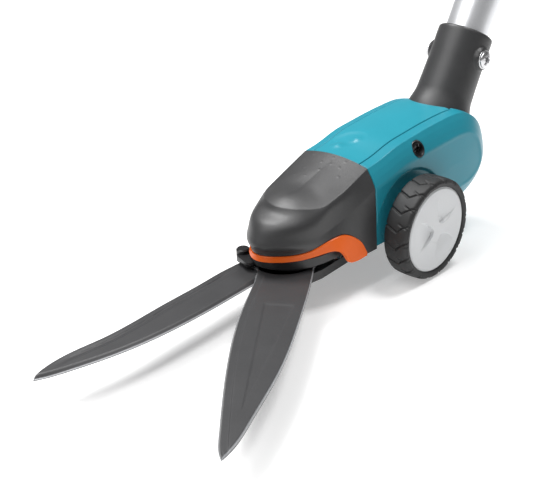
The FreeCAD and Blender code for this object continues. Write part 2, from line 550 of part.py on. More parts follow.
def handle_parts():
    bay_low, bay_high = TRIGGER_AT - 17, TRIGGER_AT + 20
    pad_low, pad_high = HANDLE_TOP - 105, HANDLE_TOP - 17
    bay_deep = TRIGGER_ARM + 9
    outer = grip_block(0, GRIP_HALF)
    hollow = outer.cut(grip_block(WALL, GRIP_HALF - WALL))
    hollow = hollow.fuse(box(-12, 12, 8, bay_deep, bay_low, bay_high))
    hollow = hollow.fuse(grip_block(0, GRIP_HALF).common(box(-20, 20, -30, 30, HANDLE_FOOT, TUBE_TOP + 1)))
    hollow = hollow.cut(box(-8.5, 8.5, -6, bay_deep + 1, bay_low + 2.5, bay_high - 2.0))
    hollow = hollow.cut(box(-8.5, 8.5, 6, bay_deep + 1, TRIGGER_AT, bay_high + 1))
    hollow = hollow.cut(rod_z(8.0, TUBE_TOP - 5, TUBE_TOP + 10, 0, 0))
    for d, s in handle_screw_places():
        boss = rod_x(4.0, -GRIP_HALF + 1, GRIP_HALF - 1, d, s)
        hollow = hollow.fuse(boss.common(grip_block(0.5, GRIP_HALF - 0.5)))
    hollow = hollow.cut(rod_z(TUBE_RADIUS + RUN, HANDLE_FOOT - 5, TUBE_TOP + FIT, 0, 0))
    lock_slot = box(-3.2, 3.2, -GRIP_DEEP - 4, -GRIP_DEEP + 6, TRIGGER_AT - 6, TRIGGER_AT + 6 + LOCK_TRAVEL)
    hollow = hollow.cut(lock_slot)
    loop_slot = box(-HANG_THICK / 2 - FIT, HANG_THICK / 2 + FIT, -7 - FIT, 7 + FIT,
                    HANDLE_TOP - 14, HANDLE_TOP + 9)
    hollow = hollow.cut(loop_slot)
    hollow = hollow.cut(rod_x(CRANK_PIN_RADIUS + RUN, -10.5, 10.5, TRIGGER_ARM, TRIGGER_AT))
    hollow = hollow.cut(box(-PAD_HALF, PAD_HALF, -GRIP_DEEP - 6, -GRIP_DEEP + 1.5, pad_low, pad_high))
    left = hollow.common(box(0, 60, -90, 90, HANDLE_FOOT - 50, HANDLE_TOP + 50)).removeSplitter()
    right = hollow.common(box(-60, 0, -90, 90, HANDLE_FOOT - 50, HANDLE_TOP + 50)).removeSplitter()
    screws = []
    for d, s in handle_screw_places():
        left = left.cut(rod_x(1.5 + FIT, -1, 60, d, s)).cut(rod_x(3.1, GRIP_HALF - 3, 60, d, s))
        right = right.cut(rod_x(1.4, -11.5, 1, d, s))
        head = rod_x(3.0, GRIP_HALF - 3, GRIP_HALF - 1, d, s)
        screws.append(rod_x(1.35, -11, GRIP_HALF - 2.9, d, s).fuse(head))
    pad = grip_block(-0.6, PAD_HALF - FIT).common(box(-PAD_HALF + FIT, PAD_HALF - FIT, -GRIP_DEEP - 6,
                                                      -GRIP_DEEP + 1.5 - FIT, pad_low + FIT, pad_high - FIT))
    loop = box(-HANG_THICK / 2, HANG_THICK / 2, -7, 7, HANDLE_TOP - 13, HANDLE_TOP + 12)
    loop = loop.fuse(rod_x(10, -HANG_THICK / 2, HANG_THICK / 2, 0, HANDLE_TOP + 14))
    loop = loop.cut(rod_x(HANG_RADIUS, -20, 20, 0, HANDLE_TOP + 14)).removeSplitter()
    lock = box(-5.5, 5.5, -GRIP_DEEP - 4.2, -GRIP_DEEP - 1.5, TRIGGER_AT - 5, TRIGGER_AT + 5)
    inside = -GRIP_DEEP + WALL + 2.0
    lock = fused([lock, box(-2.8, 2.8, -GRIP_DEEP - 2, inside + 0.5, TRIGGER_AT - 5, TRIGGER_AT + 5),
                  box(-5.0, 5.0, inside, inside + 2.0, TRIGGER_AT - 5, TRIGGER_AT + 5)])
    return {
        "handle_shell_left": on_tube(left),
        "handle_shell_right": on_tube(right),
        "handle_screws": on_tube(Part.makeCompound(screws)),
        "grip_pad": on_tube(pad),
        "hang_loop": on_tube(loop),
        "lock_slide": on_tube(lock),
    }


def trigger_parts():
    """Trigger at rest: the closed shape, swung open by its stroke about its pin."""
    lever = [(-9.0, -6), (6.5, -6), (8.0, 10), (6.0, 60), (8.5, TRIGGER_REACH - 4), (3.0, TRIGGER_REACH),
             (-3.0, TRIGGER_REACH - 3), (-5.0, 60), (-6.0, 24), (-9.0, 8)]
    blade = prism([V(-7.5, TRIGGER_ARM + d, TRIGGER_AT + s) for d, s in lever], V(15, 0, 0))
    blade = blade.fuse(rod_x(8.0, -7.5, 7.5, TRIGGER_ARM, TRIGGER_AT))
    blade.rotate(V(0, TRIGGER_ARM, TRIGGER_AT), V(1, 0, 0), -TRIGGER_STROKE)
    arm = prism([V(4.2, TRIGGER_ARM - 4, TRIGGER_AT - 5), V(4.2, TRIGGER_ARM - 4, TRIGGER_AT + 5),
                 V(4.2, TRIGGER_ARM - TRIGGER_ARM - 4.5, TRIGGER_AT + 4),
                 V(4.2, TRIGGER_ARM - TRIGGER_ARM - 4.5, TRIGGER_AT - 4)], V(3.2, 0, 0))
    # square to the tube at mid stroke, so it stands half a stroke back at rest
    arm.rotate(V(0, TRIGGER_ARM, TRIGGER_AT), V(1, 0, 0), -TRIGGER_STROKE / 2)
    shape = fused([blade, arm, mirrored(arm)])
    slot = box(-20, 20, TRIGGER_ARM - TRIGGER_ARM - 2.6, TRIGGER_ARM - TRIGGER_ARM + 2.6,
               TRIGGER_AT - PIN_RADIUS - 0.15, TRIGGER_AT + PIN_RADIUS + 0.15)
    slot.rotate(V(0, TRIGGER_ARM, TRIGGER_AT), V(1, 0, 0), -TRIGGER_STROKE / 2)
    shape = shape.cut(slot)
    shape = shape.cut(rod_x(7.0, -3.9, 3.9, TRIGGER_ARM, TRIGGER_AT))
    shape = shape.cut(box(-3.9, 3.9, TRIGGER_ARM - 12, TRIGGER_ARM, TRIGGER_AT - 10, TRIGGER_AT + 7))
    shape = shape.cut(rod_x(CRANK_PIN_RADIUS + RUN, -20, 20, TRIGGER_ARM, TRIGGER_AT))
    pin = rod_x(CRANK_PIN_RADIUS, -10.3, 10.3, TRIGGER_ARM, TRIGGER_AT)
    places = [V(-3.0 + 1.25 * i, TRIGGER_ARM, TRIGGER_AT) for i in range(5)]
    turns = [Part.makeTorus(3.7, 0.6, place, V(1, 0, 0)) for place in places]
    return {
        "trigger": on_tube(shape),
        "trigger_pin": on_tube(pin),
        "trigger_spring": on_tube(Part.makeCompound(turns)),
    }


# ---- wheels ---------------------------------------------------------------------------------------------
def wheel_side(inside, width):
    """One wheel drawn on the +X side, with its clip, its collar and its groove in the axle."""
    outside = inside + width
    lugs = 18
    tyre = rod_x(TYRE_RADIUS, inside, outside - 0.5, 0, 0)
    tyre = tyre.makeChamfer(1.5, [edge for edge in tyre.Edges if edge.Curve.TypeId == "Part::GeomCircle"])
    tyre = tyre.cut(rod_x(HUB_RADIUS + RUN, 0, 60, 0, 0))
    for i in range(lugs):
        notch = box(inside - 1, inside + 5.5, -1.1, 1.1, TYRE_RADIUS - 1.6, TYRE_RADIUS + 2)
        other = notch.copy()
        other.translate(V(width - 5, 0, 0))
        notch.rotate(V(0, 0, 0), V(1, 0, 0), 360.0 / lugs * i)
        other.rotate(V(0, 0, 0), V(1, 0, 0), 360.0 / lugs * (i + 0.5))
        tyre = tyre.cut(notch).cut(other)
    hub = rod_x(HUB_RADIUS, inside + 0.5, outside, 0, 0)
    hub = hub.cut(rod_x(HUB_RADIUS - 3, 0, outside - 5, 0, 0).cut(rod_x(8.5, 0, 60, 0, 0)))
    hub = hub.cut(rod_x(AXLE_RADIUS + RUN, 0, 60, 0, 0)).cut(rod_x(7.0 + FIT, outside - 4, 60, 0, 0))
    clip_neck = rod_x(AXLE_RADIUS - 0.6, 0, 60, 0, 0)
    return {
        "tyre": tyre,
        "wheel_hub": hub,
        "hub_cap": rod_x(7.0, outside - 1.6, outside, 0, 0),
        "clip": rod_x(6.2, outside - 3.7, outside - 2.7, 0, 0).cut(clip_neck),
        "groove": rod_x(AXLE_RADIUS + 1, outside - 3.8, outside - 2.6, 0, 0).cut(clip_neck),
        "collar": rod_x(6.0, BODY_HALF + GAP, inside + 0.2, 0, 0).cut(rod_x(AXLE_RADIUS, 0, 60, 0, 0)),
        "end": rod_x(AXLE_RADIUS, 0, outside - 2.0, 0, 0),
    }


def wheel_parts():
    left = wheel_side(BODY_HALF + WHEEL_CLEAR, TYRE_WIDTH)
    far = wheel_side(BODY_HALF + FAR_WHEEL_CLEAR, FAR_TYRE_WIDTH)
    right = {name: mirrored(shape) for name, shape in far.items()}
    axle = fused([left["end"], right["end"]]).cut(left["groove"]).cut(right["groove"])
    parts = {
        "axle": fused([axle, left["collar"], right["collar"]]),
        "axle_clips": Part.makeCompound([left["clip"], right["clip"]]),
    }
    for name in ("tyre", "wheel_hub", "hub_cap"):
        parts[name + "_left"] = left[name]
        parts[name + "_right"] = right[name]
    return parts


def main():
    os.makedirs("parts", exist_ok=True)
    nodes = {}
    for make in (body_parts, head_covers, head_frame_parts, carrier_parts, blade_parts, drive_parts,
                 tube_parts, handle_parts, trigger_parts, wheel_parts):
        nodes.update(make())
    for name, shape in nodes.items():
        lifted = shape.copy()
        lifted.translate(V(0, 0, TYRE_RADIUS))
        lifted.exportStep("parts/" + name + ".step")
        solids = len(lifted.Solids)
        print(f"{name}: {solids} solid(s), {lifted.Volume:.0f} mm3, valid {lifted.isValid()}")
    turn = math.degrees(2 * CRANK_HALF)
    print(f"bell crank pin at y {CRANK_Y:.4f}, z {CRANK_Z + TYRE_RADIUS:.4f}, turns {turn:.4f} degrees")
    print(f"rod stroke {ROD_STROKE:.4f}, slider stroke {SLIDE_STROKE:.4f}")


main()
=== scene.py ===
import math

import bmesh
import bpy
import numpy as np
from mathutils import Matrix, Vector


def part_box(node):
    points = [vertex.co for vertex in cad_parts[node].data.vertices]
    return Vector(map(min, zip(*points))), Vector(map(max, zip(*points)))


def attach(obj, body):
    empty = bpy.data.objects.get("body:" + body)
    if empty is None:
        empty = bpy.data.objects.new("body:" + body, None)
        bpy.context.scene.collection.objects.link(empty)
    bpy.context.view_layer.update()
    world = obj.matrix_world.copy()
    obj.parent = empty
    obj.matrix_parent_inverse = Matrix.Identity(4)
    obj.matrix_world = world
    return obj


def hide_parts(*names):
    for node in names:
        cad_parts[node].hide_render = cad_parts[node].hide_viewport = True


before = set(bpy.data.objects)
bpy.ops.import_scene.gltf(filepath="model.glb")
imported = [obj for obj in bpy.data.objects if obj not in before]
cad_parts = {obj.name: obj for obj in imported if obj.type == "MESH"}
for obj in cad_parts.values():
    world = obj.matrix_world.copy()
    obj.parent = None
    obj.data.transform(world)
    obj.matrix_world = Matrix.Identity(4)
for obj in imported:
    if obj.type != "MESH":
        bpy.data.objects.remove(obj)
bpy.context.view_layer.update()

# Shapes are drawn in millimetres about the middle of the wheel axle, as in the CAD source:
# +X is the tool's left, -Y forward, +Z up. make_piece() turns them into metres above the ground.

# ---- sizes ----
MM = 0.001
TYRE_LOW, TYRE_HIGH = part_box("tyre_left")
HUB_LOW, HUB_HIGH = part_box("wheel_hub_left")
AXLE = np.array([0.0, (TYRE_LOW.y + TYRE_HIGH.y) / 2, (TYRE_LOW.z + TYRE_HIGH.z) / 2])
TYRE_RADIUS = (TYRE_HIGH.z - TYRE_LOW.z) / 2 / MM
HUB_RADIUS = (HUB_HIGH.z - HUB_LOW.z) / 2 / MM

RIDGE_HALF = 21.5        # half width between the two top ridges
COVER_HALF = 16.0
COVER_REAR = 51.0
REAR_SLOT = 1.6          # open gap behind the cover
BODY_FRONT = -28.5
HEAD_BACK = -29.0
FLOOR = -5.0             # underside of the body
SHELL = 1.8              # thickness of the moulded skins
SEAM = 0.16              # half gap between two skins
LIP = 0.3                # small rounding where a skin ends
TUBE_LEAN = 31.4
TUBE_Y = 37.0
PIVOT_Y = -70.0
SWIVEL_Z = 14.0
BOLT_AT = 82.0


# ---- curves and grids ----
def run_along(points):
    """Distance from the first point to each, along the straight lines between them."""
    return np.concatenate([[0], np.cumsum(np.linalg.norm(np.diff(points, axis=0), axis=1))])


def spline(points, where):
    """Natural cubic spline through points; where runs from 0 to 1 by the distance along them."""
    knots = run_along(np.asarray(points, float))
    return spline_at(knots / knots[-1], points, where)


def spline_at(knots, points, where):
    """Natural cubic spline through points given at knots."""
    knots = np.asarray(knots, float)
    points = np.asarray(points, float)
    flat = points.reshape(len(points), -1)
    step = np.diff(knots)
    matrix = np.eye(len(knots))
    right = np.zeros_like(flat)
    for i in range(1, len(knots) - 1):
        matrix[i, i - 1:i + 2] = step[i - 1], 2 * (step[i - 1] + step[i]), step[i]
        right[i] = 6 * ((flat[i + 1] - flat[i]) / step[i] - (flat[i] - flat[i - 1]) / step[i - 1])
    bend = np.linalg.solve(matrix, right)
    where = np.atleast_1d(where)
    k = np.clip(np.searchsorted(knots, where, side="right") - 1, 0, len(step) - 1)
    h = step[k][:, None]
    a = (knots[k + 1] - where)[:, None]
    b = (where - knots[k])[:, None]
    value = ((bend[k] * a ** 3 + bend[k + 1] * b ** 3) / (6 * h)
             + (flat[k] / h - bend[k] * h / 6) * a + (flat[k + 1] / h - bend[k + 1] * h / 6) * b)
    return value.reshape((len(where),) + points.shape[1:])


def ease(low, high, value):
    """0 below low, 1 above high, smooth between."""
    share = np.clip((value - low) / (high - low), 0, 1)
    return share * share * (3 - 2 * share)


def blend(a, b, share):
    return a + (b - a) * share


def power(value, exponent):
    return np.sign(value) * np.abs(value) ** exponent


def grid_normals(grid, wrap=False):
    if wrap:
        padded = np.concatenate([grid[-2:-1], grid, grid[1:2]]) if np.allclose(grid[0], grid[-1]) \
            else np.concatenate([grid[-1:], grid, grid[:1]])
        along = np.gradient(padded, axis=0)[1:-1]
    else:
        along = np.gradient(grid, axis=0)
    normals = np.cross(along, np.gradient(grid, axis=1))
    return normals / np.maximum(np.linalg.norm(normals, axis=2, keepdims=True), 1e-9)


def outward(grid, inside, wrap=False):
    """The grid, turned over if need be so that its normals point away from a point inside."""
    agreement = np.sum(grid_normals(grid, wrap) * (grid - np.asarray(inside, float)))
    return grid if agreement > 0 else grid[:, ::-1]


def quads(index):
    corners = (index[:-1, :-1], index[1:, :-1], index[1:, 1:], index[:-1, 1:])
    return np.stack(corners, -1).reshape(-1, 4)


def closed_between(front, back, wrap=False):
    """Solid between two grids of the same size: points and faces."""
    rows, cols = front.shape[:2]
    count = rows * cols
    index = np.arange(count).reshape(rows, cols)
    ring = np.vstack([index, index[:1]]) if wrap else index
    faces = [quads(ring), quads(ring + count)[:, ::-1]]
    for side, turn in ((0, 1), (-1, -1)):
        edge = ring[:, side][::turn]
        faces.append(np.stack([edge[:-1], edge[:-1] + count, edge[1:] + count, edge[1:]], -1))
        if not wrap:
            edge = index[side][::-turn]
            faces.append(np.stack([edge[:-1], edge[:-1] + count, edge[1:] + count, edge[1:]], -1))
    return np.concatenate([front.reshape(-1, 3), back.reshape(-1, 3)]), np.concatenate(faces)


def facing(front, back, way):
    """Solid between two grids that wrap, both turned over if the front's normals go against way."""
    if np.sum(grid_normals(front, True) * way) < 0:
        front, back = front[:, ::-1], back[:, ::-1]
    return closed_between(front, back, True)


def lipped(grid, lip, wrap=False):
    """The grid with its edge drawn in by lip and turned over inwards, as a moulding's edge is."""
    normals = grid_normals(grid, wrap)

    def add(grid, normals):
        first = grid[:1] - normals[:1] * lip
        last = grid[-1:] - normals[-1:] * lip
        start = grid[:1] + unit(grid[1:2] - grid[:1]) * lip
        end = grid[-1:] + unit(grid[-2:-1] - grid[-1:]) * lip
        widened = np.concatenate([first, start, grid[1:-1], end, last])
        return widened, np.concatenate([normals[:1], normals, normals[-1:]])

    if not wrap:
        grid, normals = add(grid, normals)
    grid, normals = add(grid.swapaxes(0, 1), normals.swapaxes(0, 1))
    return grid.swapaxes(0, 1)


def unit(vectors):
    return vectors / np.maximum(np.linalg.norm(vectors, axis=-1, keepdims=True), 1e-9)


def skin(grid, inside, thick=SHELL, lip=LIP, wrap=False):
    """A moulded skin: the grid as its outer face, with lips, and an inner face behind it."""
    grid = outward(grid, inside, wrap)
    back = grid - grid_normals(grid, wrap) * thick
    if lip:
        front = lipped(grid, lip, wrap)
        pad = 1 if not wrap else 0
        back = np.pad(back, ((pad, pad), (1, 1), (0, 0)), mode="edge")
        return closed_between(front, back, wrap)
    return closed_between(grid, back, wrap)


def folded_skin(grid, thick, lip):
    """A skin whose first column runs up the middle line and back down it, so that it is joined there."""
    normals = grid_normals(grid)
    if np.sum(normals * (grid - [0, -45, 5])) < 0:
        normals = -normals
    normals[:, 0, 0] = 0
    back = grid - unit(normals) * thick
    end = grid[:, -1:] - unit(normals[:, -1:]) * lip
    foot = grid[:, -1:] + unit(grid[:, -2:-1] - grid[:, -1:]) * lip
    front = np.concatenate([grid[:, :-1], foot, end], axis=1)
    back = np.concatenate([back, back[:, -1:]], axis=1)
    rows, cols = front.shape[:2]
    index = np.arange(rows * cols).reshape(rows, cols)
    count = rows * cols
    faces = [quads(index), quads(index + count)[:, ::-1]]
    for edge in (index[:, -1][::-1], index[0][::-1], index[-1]):
        faces.append(np.stack([edge[:-1], edge[:-1] + count, edge[1:] + count, edge[1:]], -1))
    faces = np.concatenate(faces)
    if np.sum(grid_normals(front) * (front - [0, -45, 5])) < 0:
        faces = faces[:, ::-1]
    return np.concatenate([front.reshape(-1, 3), back.reshape(-1, 3)]), faces


def ring_solid(grid):
    """Solid whose grid wraps both ways, such as a tyre, turned over if need be so that it faces outwards."""
    ring = grid.mean(axis=1, keepdims=True)
    if np.sum(np.cross(np.gradient(grid, axis=0), np.gradient(grid, axis=1)) * (grid - ring)) < 0:
        grid = grid[:, ::-1]
    rows, cols = grid.shape[:2]
    index = np.arange(rows * cols).reshape(rows, cols)
    index = np.vstack([index, index[:1]])
    index = np.hstack([index, index[:, :1]])
    return grid.reshape(-1, 3), quads(index)


def merged(*solids):
    points, faces, start = [], [], 0
    for some_points, some_faces in solids:
        points.append(some_points)
        faces.append(some_faces + start)
        start += len(some_points)
    return np.concatenate(points), np.concatenate(faces)


def mirrored(solid):
    points, faces = solid
    return points * [-1, 1, 1], faces[:, ::-1]


def turned(profile, steps, axis_point, along):
    """Solid of revolution from a closed (radius, distance) profile, about a line along x, y or z."""
    profile = np.asarray(profile, float)
    angle = np.linspace(0, 2 * math.pi, steps, endpoint=False)[:, None]
    radius = profile[None, :, 0]
    far = np.broadcast_to(profile[None, :, 1], (steps, len(profile)))
    c, s = np.cos(angle) * radius, np.sin(angle) * radius
    grid = {"x": np.stack([far, c, s], -1), "z": np.stack([s, c, far], -1),
            "y": np.stack([s, far, c], -1)}[along]
    grid = grid + np.asarray(axis_point, float)
    return ring_solid(grid)


def on_tube(solid):
    """Place a solid drawn with +Z up the tube."""
    lean = math.radians(TUBE_LEAN)
    points, faces = solid
    x, y, z = points.T
    return np.stack([x, TUBE_Y + y * math.cos(lean) + z * math.sin(lean),
                     z * math.cos(lean) - y * math.sin(lean)], -1), faces


def slab(outline, low, high, round_off=0.5):
    """Plate from a smooth closed outline in (x, y), with rounded edges."""
    loop = np.array(outline + [outline[0]], float)
    ring = spline(np.concatenate([loop[-4:-1], loop, loop[1:4]]), np.linspace(0, 1, 1200))
    start = np.argmin(np.linalg.norm(ring[:600] - loop[0], axis=1))
    end = 600 + np.argmin(np.linalg.norm(ring[600:] - loop[0], axis=1))
    ring = ring[start:end][::3]
    centre = ring.mean(0)
    levels = [(0.02, low), (1 - round_off / 12, low), (1, low + round_off), (1, high - round_off),
              (1 - round_off / 12, high), (0.02, high)]
    grid = np.stack([np.column_stack([centre + (ring - centre) * share, np.full(len(ring), z)])
                     for share, z in levels], axis=1)
    middle = np.array([*centre, (low + high) / 2])
    if np.sum(grid_normals(grid, True)[:, 1:5] * (grid - middle)[:, 1:5]) < 0:
        grid = grid[:, ::-1]
    rows, cols = grid.shape[:2]
    index = np.arange(rows * cols).reshape(rows, cols)
    return grid.reshape(-1, 3), quads(np.vstack([index, index[:1]]))


def upright(solid):
    """Turn a slab drawn flat so that its outline lies in y and z."""
    points, faces = solid
    return points[:, [2, 0, 1]], faces


def moved(solid, by):
    return solid[0] + np.asarray(by, float), solid[1]


def screw_head(radius, proud):
    """Domed head with a cross recess, along +X from 0, as a disc with a back."""
    angle = np.linspace(0, 2 * math.pi, 96, endpoint=False)[:, None]
    reach = np.linspace(0.01, radius, 30)[None]
    y, z = reach * np.cos(angle), reach * np.sin(angle)
    dome = proud * (1 - 0.45 * (reach / radius) ** 3) + 0 * angle
    arm = radius * 0.17

    def bar(wide, long):
        narrow = 1 - ease(arm, arm * 1.35, np.abs(wide))
        return narrow * (1 - ease(radius * 0.6, radius * 0.68, np.abs(long)))

    cross = np.maximum(bar(y, z), bar(z, y))
    front = np.stack([dome - proud * 0.7 * cross, y, z], -1)
    back = np.stack([0 * dome, y, z], -1)
    return facing(front, back, [1, 0, 0])


# ---- materials ----
def finish_node(tree, kind, **values):
    node = tree.nodes.new(kind)
    for key, value in values.items():
        if key in node.inputs:
            node.inputs[key].default_value = value
        else:
            setattr(node, key, value)
    return node


def material(name, colour, rough, spread=0.08, grain=2500.0, bump=0.12, metallic=0.0, coat=0.0,
             stretch=(1, 1, 1), lean=0.0, bare=None, rough_spread=0.08, depth=0.0003, specular=0.5):
    """Procedural finish: broad colour variation, uneven gloss and a fine moulded or brushed grain."""
    made = bpy.data.materials.new(name)
    made.use_nodes = True
    tree = made.node_tree
    link = tree.links.new
    shader = tree.nodes["Principled BSDF"]
    shader.inputs["Metallic"].default_value = metallic
    shader.inputs["Coat Weight"].default_value = coat
    shader.inputs["Coat Roughness"].default_value = 0.12
    shader.inputs["Specular IOR Level"].default_value = specular
    where = finish_node(tree, "ShaderNodeTexCoord")
    turn = finish_node(tree, "ShaderNodeMapping", Rotation=(lean, 0, 0), Scale=stretch)
    link(where.outputs["Object"], turn.inputs["Vector"])
    broad = finish_node(tree, "ShaderNodeTexNoise", Scale=70.0, Detail=4.0, Roughness=0.6)
    fine = finish_node(tree, "ShaderNodeTexNoise", Scale=grain, Detail=3.0, Roughness=0.55)
    link(where.outputs["Object"], broad.inputs["Vector"])
    link(turn.outputs["Vector"], fine.inputs["Vector"])
    both = finish_node(tree, "ShaderNodeMix", Factor=0.5)
    link(broad.outputs["Fac"], both.inputs[2])
    link(fine.outputs["Fac"], both.inputs[3])
    ramp = finish_node(tree, "ShaderNodeValToRGB")
    ramp.color_ramp.elements[0].position = 0.3
    ramp.color_ramp.elements[1].position = 0.7
    ramp.color_ramp.elements[0].color = tuple(c * (1 - spread) for c in colour) + (1,)
    ramp.color_ramp.elements[1].color = tuple(min(1, c * (1 + spread)) for c in colour) + (1,)
    link(both.outputs[0], ramp.inputs["Fac"])
    gloss = finish_node(tree, "ShaderNodeMapRange")
    gloss.inputs["To Min"].default_value = rough - rough_spread / 2
    gloss.inputs["To Max"].default_value = rough + rough_spread / 2
    link(both.outputs[0], gloss.inputs["Value"])
    relief = finish_node(tree, "ShaderNodeBump", Strength=bump, Distance=depth)
    link(fine.outputs["Fac"], relief.inputs["Height"])
    link(relief.outputs["Normal"], shader.inputs["Normal"])
    if bare is None:
        link(ramp.outputs["Color"], shader.inputs["Base Color"])
        link(gloss.outputs["Result"], shader.inputs["Roughness"])
        return made
    bare_colour, bare_rough = bare
    mask = finish_node(tree, "ShaderNodeAttribute", attribute_name="bare")
    tint = finish_node(tree, "ShaderNodeMix", data_type="RGBA")
    link(mask.outputs["Fac"], tint.inputs[0])
    link(ramp.outputs["Color"], tint.inputs[6])
    tint.inputs[7].default_value = bare_colour + (1,)
    link(tint.outputs[2], shader.inputs["Base Color"])
    dull = finish_node(tree, "ShaderNodeMix")
    link(mask.outputs["Fac"], dull.inputs[0])
    link(gloss.outputs["Result"], dull.inputs[2])
    dull.inputs[3].default_value = bare_rough
    link(dull.outputs[0], shader.inputs["Roughness"])
    return made


FINISHES = {
    "teal_shell": material("teal_shell", (0.014, 0.235, 0.310), 0.34, spread=0.035, bump=0.03,
                           specular=0.38),
    "teal_cover": material("teal_cover", (0.016, 0.250, 0.325), 0.34, spread=0.035, bump=0.03,
                           specular=0.38),
    "dark_plastic": material("dark_plastic", (0.034, 0.034, 0.035), 0.42, spread=0.16, bump=0.16, grain=3200),
    "black_plastic": material("black_plastic", (0.008, 0.008, 0.009), 0.40, spread=0.2, bump=0.12),
    "orange_plastic": material("orange_plastic", (0.78, 0.120, 0.006), 0.36, spread=0.05, bump=0.05,
                               specular=0.25),
    "tube_aluminium": material("tube_aluminium", (0.80, 0.81, 0.83), 0.36, metallic=0.8, grain=700, bump=0.1,
                               stretch=(3, 3, 0.03), lean=math.radians(TUBE_LEAN), spread=0.06),
    "blade_coating": material("blade_coating", (0.048, 0.048, 0.050), 0.42, metallic=0.2, grain=1500,
                              bump=0.06, spread=0.10, bare=((0.50, 0.51, 0.53), 0.28)),
    "tyre_rubber": material("tyre_rubber", (0.013, 0.013, 0.0135), 0.60, spread=0.25, bump=0.25, grain=1800),
    "hub_plastic": material("hub_plastic", (0.60, 0.61, 0.62), 0.42, spread=0.03, bump=0.05),
    "soft_grip": material("soft_grip", (0.030, 0.030, 0.032), 0.70, spread=0.2, bump=0.4, grain=1400),
    "black_screw": material("black_screw", (0.03, 0.03, 0.032), 0.25, metallic=0.7, spread=0.2, bump=0.1),
    "bright_steel": material("bright_steel", (0.62, 0.62, 0.63), 0.27, metallic=1.0, grain=900, bump=0.12,
                             stretch=(4, 1, 1), spread=0.08),
}


# ---- making pieces ----
def make_piece(name, solid, body, slot, stands_for=(), sharp=34.0, bare=None, weld=False):
    points, faces = solid
    mesh = bpy.data.meshes.new(name)
    mesh.from_pydata((points * MM + AXLE).tolist(), [], faces.tolist())
    if weld:
        shape = bmesh.new()
        shape.from_mesh(mesh)
        bmesh.ops.remove_doubles(shape, verts=shape.verts, dist=1e-5)
        shape.to_mesh(mesh)
        shape.free()
    mesh.validate()
    mesh.shade_smooth()
    mesh.set_sharp_from_angle(angle=math.radians(sharp))
    if bare is not None:
        mesh.attributes.new("bare", "FLOAT", "POINT").data.foreach_set("value", bare.astype(np.float32))
    mesh.materials.append(FINISHES[slot])
    piece = bpy.data.objects.new(name, mesh)
    bpy.context.scene.collection.objects.link(piece)
    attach(piece, body)
    if stands_for:
        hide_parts(*stands_for)
    return piece


# ---- body ----
RIDGE = [(BODY_FRONT, 37.7), (-18.1, 39.4), (-5.4, 42.6), (7.7, 44.3), (21.2, 45.7), (35.1, 46.6),
         (44.6, 46.9), (52.4, 46.3), (62.6, 42.7), (71.3, 35.5), (76.3, 24.7), (77.5, 16.5), (75.0, 8.0),
         (68.5, 0.8), (59.0, -3.8), (50.0, FLOOR), (44.2, FLOOR)]
SIDE_SLOPE = [(0, RIDGE_HALF), (3, 23.7), (6, 25.5), (9.2, 27.0), (10.8, 27.35), (14, 27.5), (20, 27.8),
              (35, 28.4), (60, 28.6)]
SCREW_SEAT = 23.0        # X of the bottom of the top screw's recess
SCREWS = [(9.2, 38.4, SCREW_SEAT), (-15.0, 3.0, SCREW_SEAT + 1.2), (15.0, 3.0, SCREW_SEAT + 1.2)]
WELL_RADIUS = 29.6
WELL_DEPTH = 1.2
THUMB_AT = (-5.0, -12.5)     # middle of the dish in the cover, x and y
THUMB_TURN = 38.0
THUMB_DEEP = 0.6
THUMB_DOTS = [(-6.3, -19.4), (-0.3, -11.2)]
DOT_HIGH, DOT_WIDE = 1.15, 3.0


def ridge_rows(step):
    """Shares of the ridge outline about step apart, with a close pair where the cover ends."""
    dense = np.linspace(0, 1, 4001)
    line = spline(RIDGE, dense)
    length = np.sum(np.linalg.norm(np.diff(line, axis=0), axis=1))
    rows = np.linspace(0, 1, int(length / step))
    at_cover = dense[np.argmax(line[:, 0] > COVER_REAR + REAR_SLOT)]
    rows = rows[np.abs(rows - at_cover) > 0.4 * step / length]
    return np.sort(np.append(rows, [at_cover - 0.0004, at_cover + 0.0004]))


def ridge_frame(rows):
    """Points of the ridge outline and the directions out of it, in (y, z)."""
    line = spline(RIDGE, rows)
    ahead = spline(RIDGE, np.clip(rows + 1e-4, 0, 1)) - spline(RIDGE, np.clip(rows - 1e-4, 0, 1))
    ahead /= np.linalg.norm(ahead, axis=1, keepdims=True)
    return line, np.stack([-ahead[:, 1], ahead[:, 0]], -1)


def top_strip(rows, across):
    """Crowned surface between the ridges; across is an x for every row and column."""
    line, out = ridge_frame(rows)
    crown = blend(2.7, 1.6, ease(0.35, 0.75, rows))[:, None] * (1 - (across / RIDGE_HALF) ** 2)
    y = line[:, :1] + out[:, :1] * crown
    z = line[:, 1:] + out[:, 1:] * crown
    grid = np.stack([across, y, z], -1)
    grid[..., 2] -= thumb_rest(grid)
    return grid


def thumb_rest(grid):
    """How far the shallow dish with its two raised points lies below the cover."""
    x, y = grid[..., 0], grid[..., 1]
    turn = math.radians(THUMB_TURN)
    right, back = x - THUMB_AT[0], y - THUMB_AT[1]
    along = right * math.cos(turn) + back * math.sin(turn)
    across = back * math.cos(turn) - right * math.sin(turn)
    dish = THUMB_DEEP * (1 - ease(0.15, 1.0, (along / 11.0) ** 2 + (across / 8.5) ** 2))
    for dot_x, dot_y in THUMB_DOTS:
        dish -= DOT_HIGH * np.exp(-(((x - dot_x) / DOT_WIDE) ** 2 + ((y - dot_y) / DOT_WIDE) ** 2))
    return dish * (grid[..., 2] > 20)


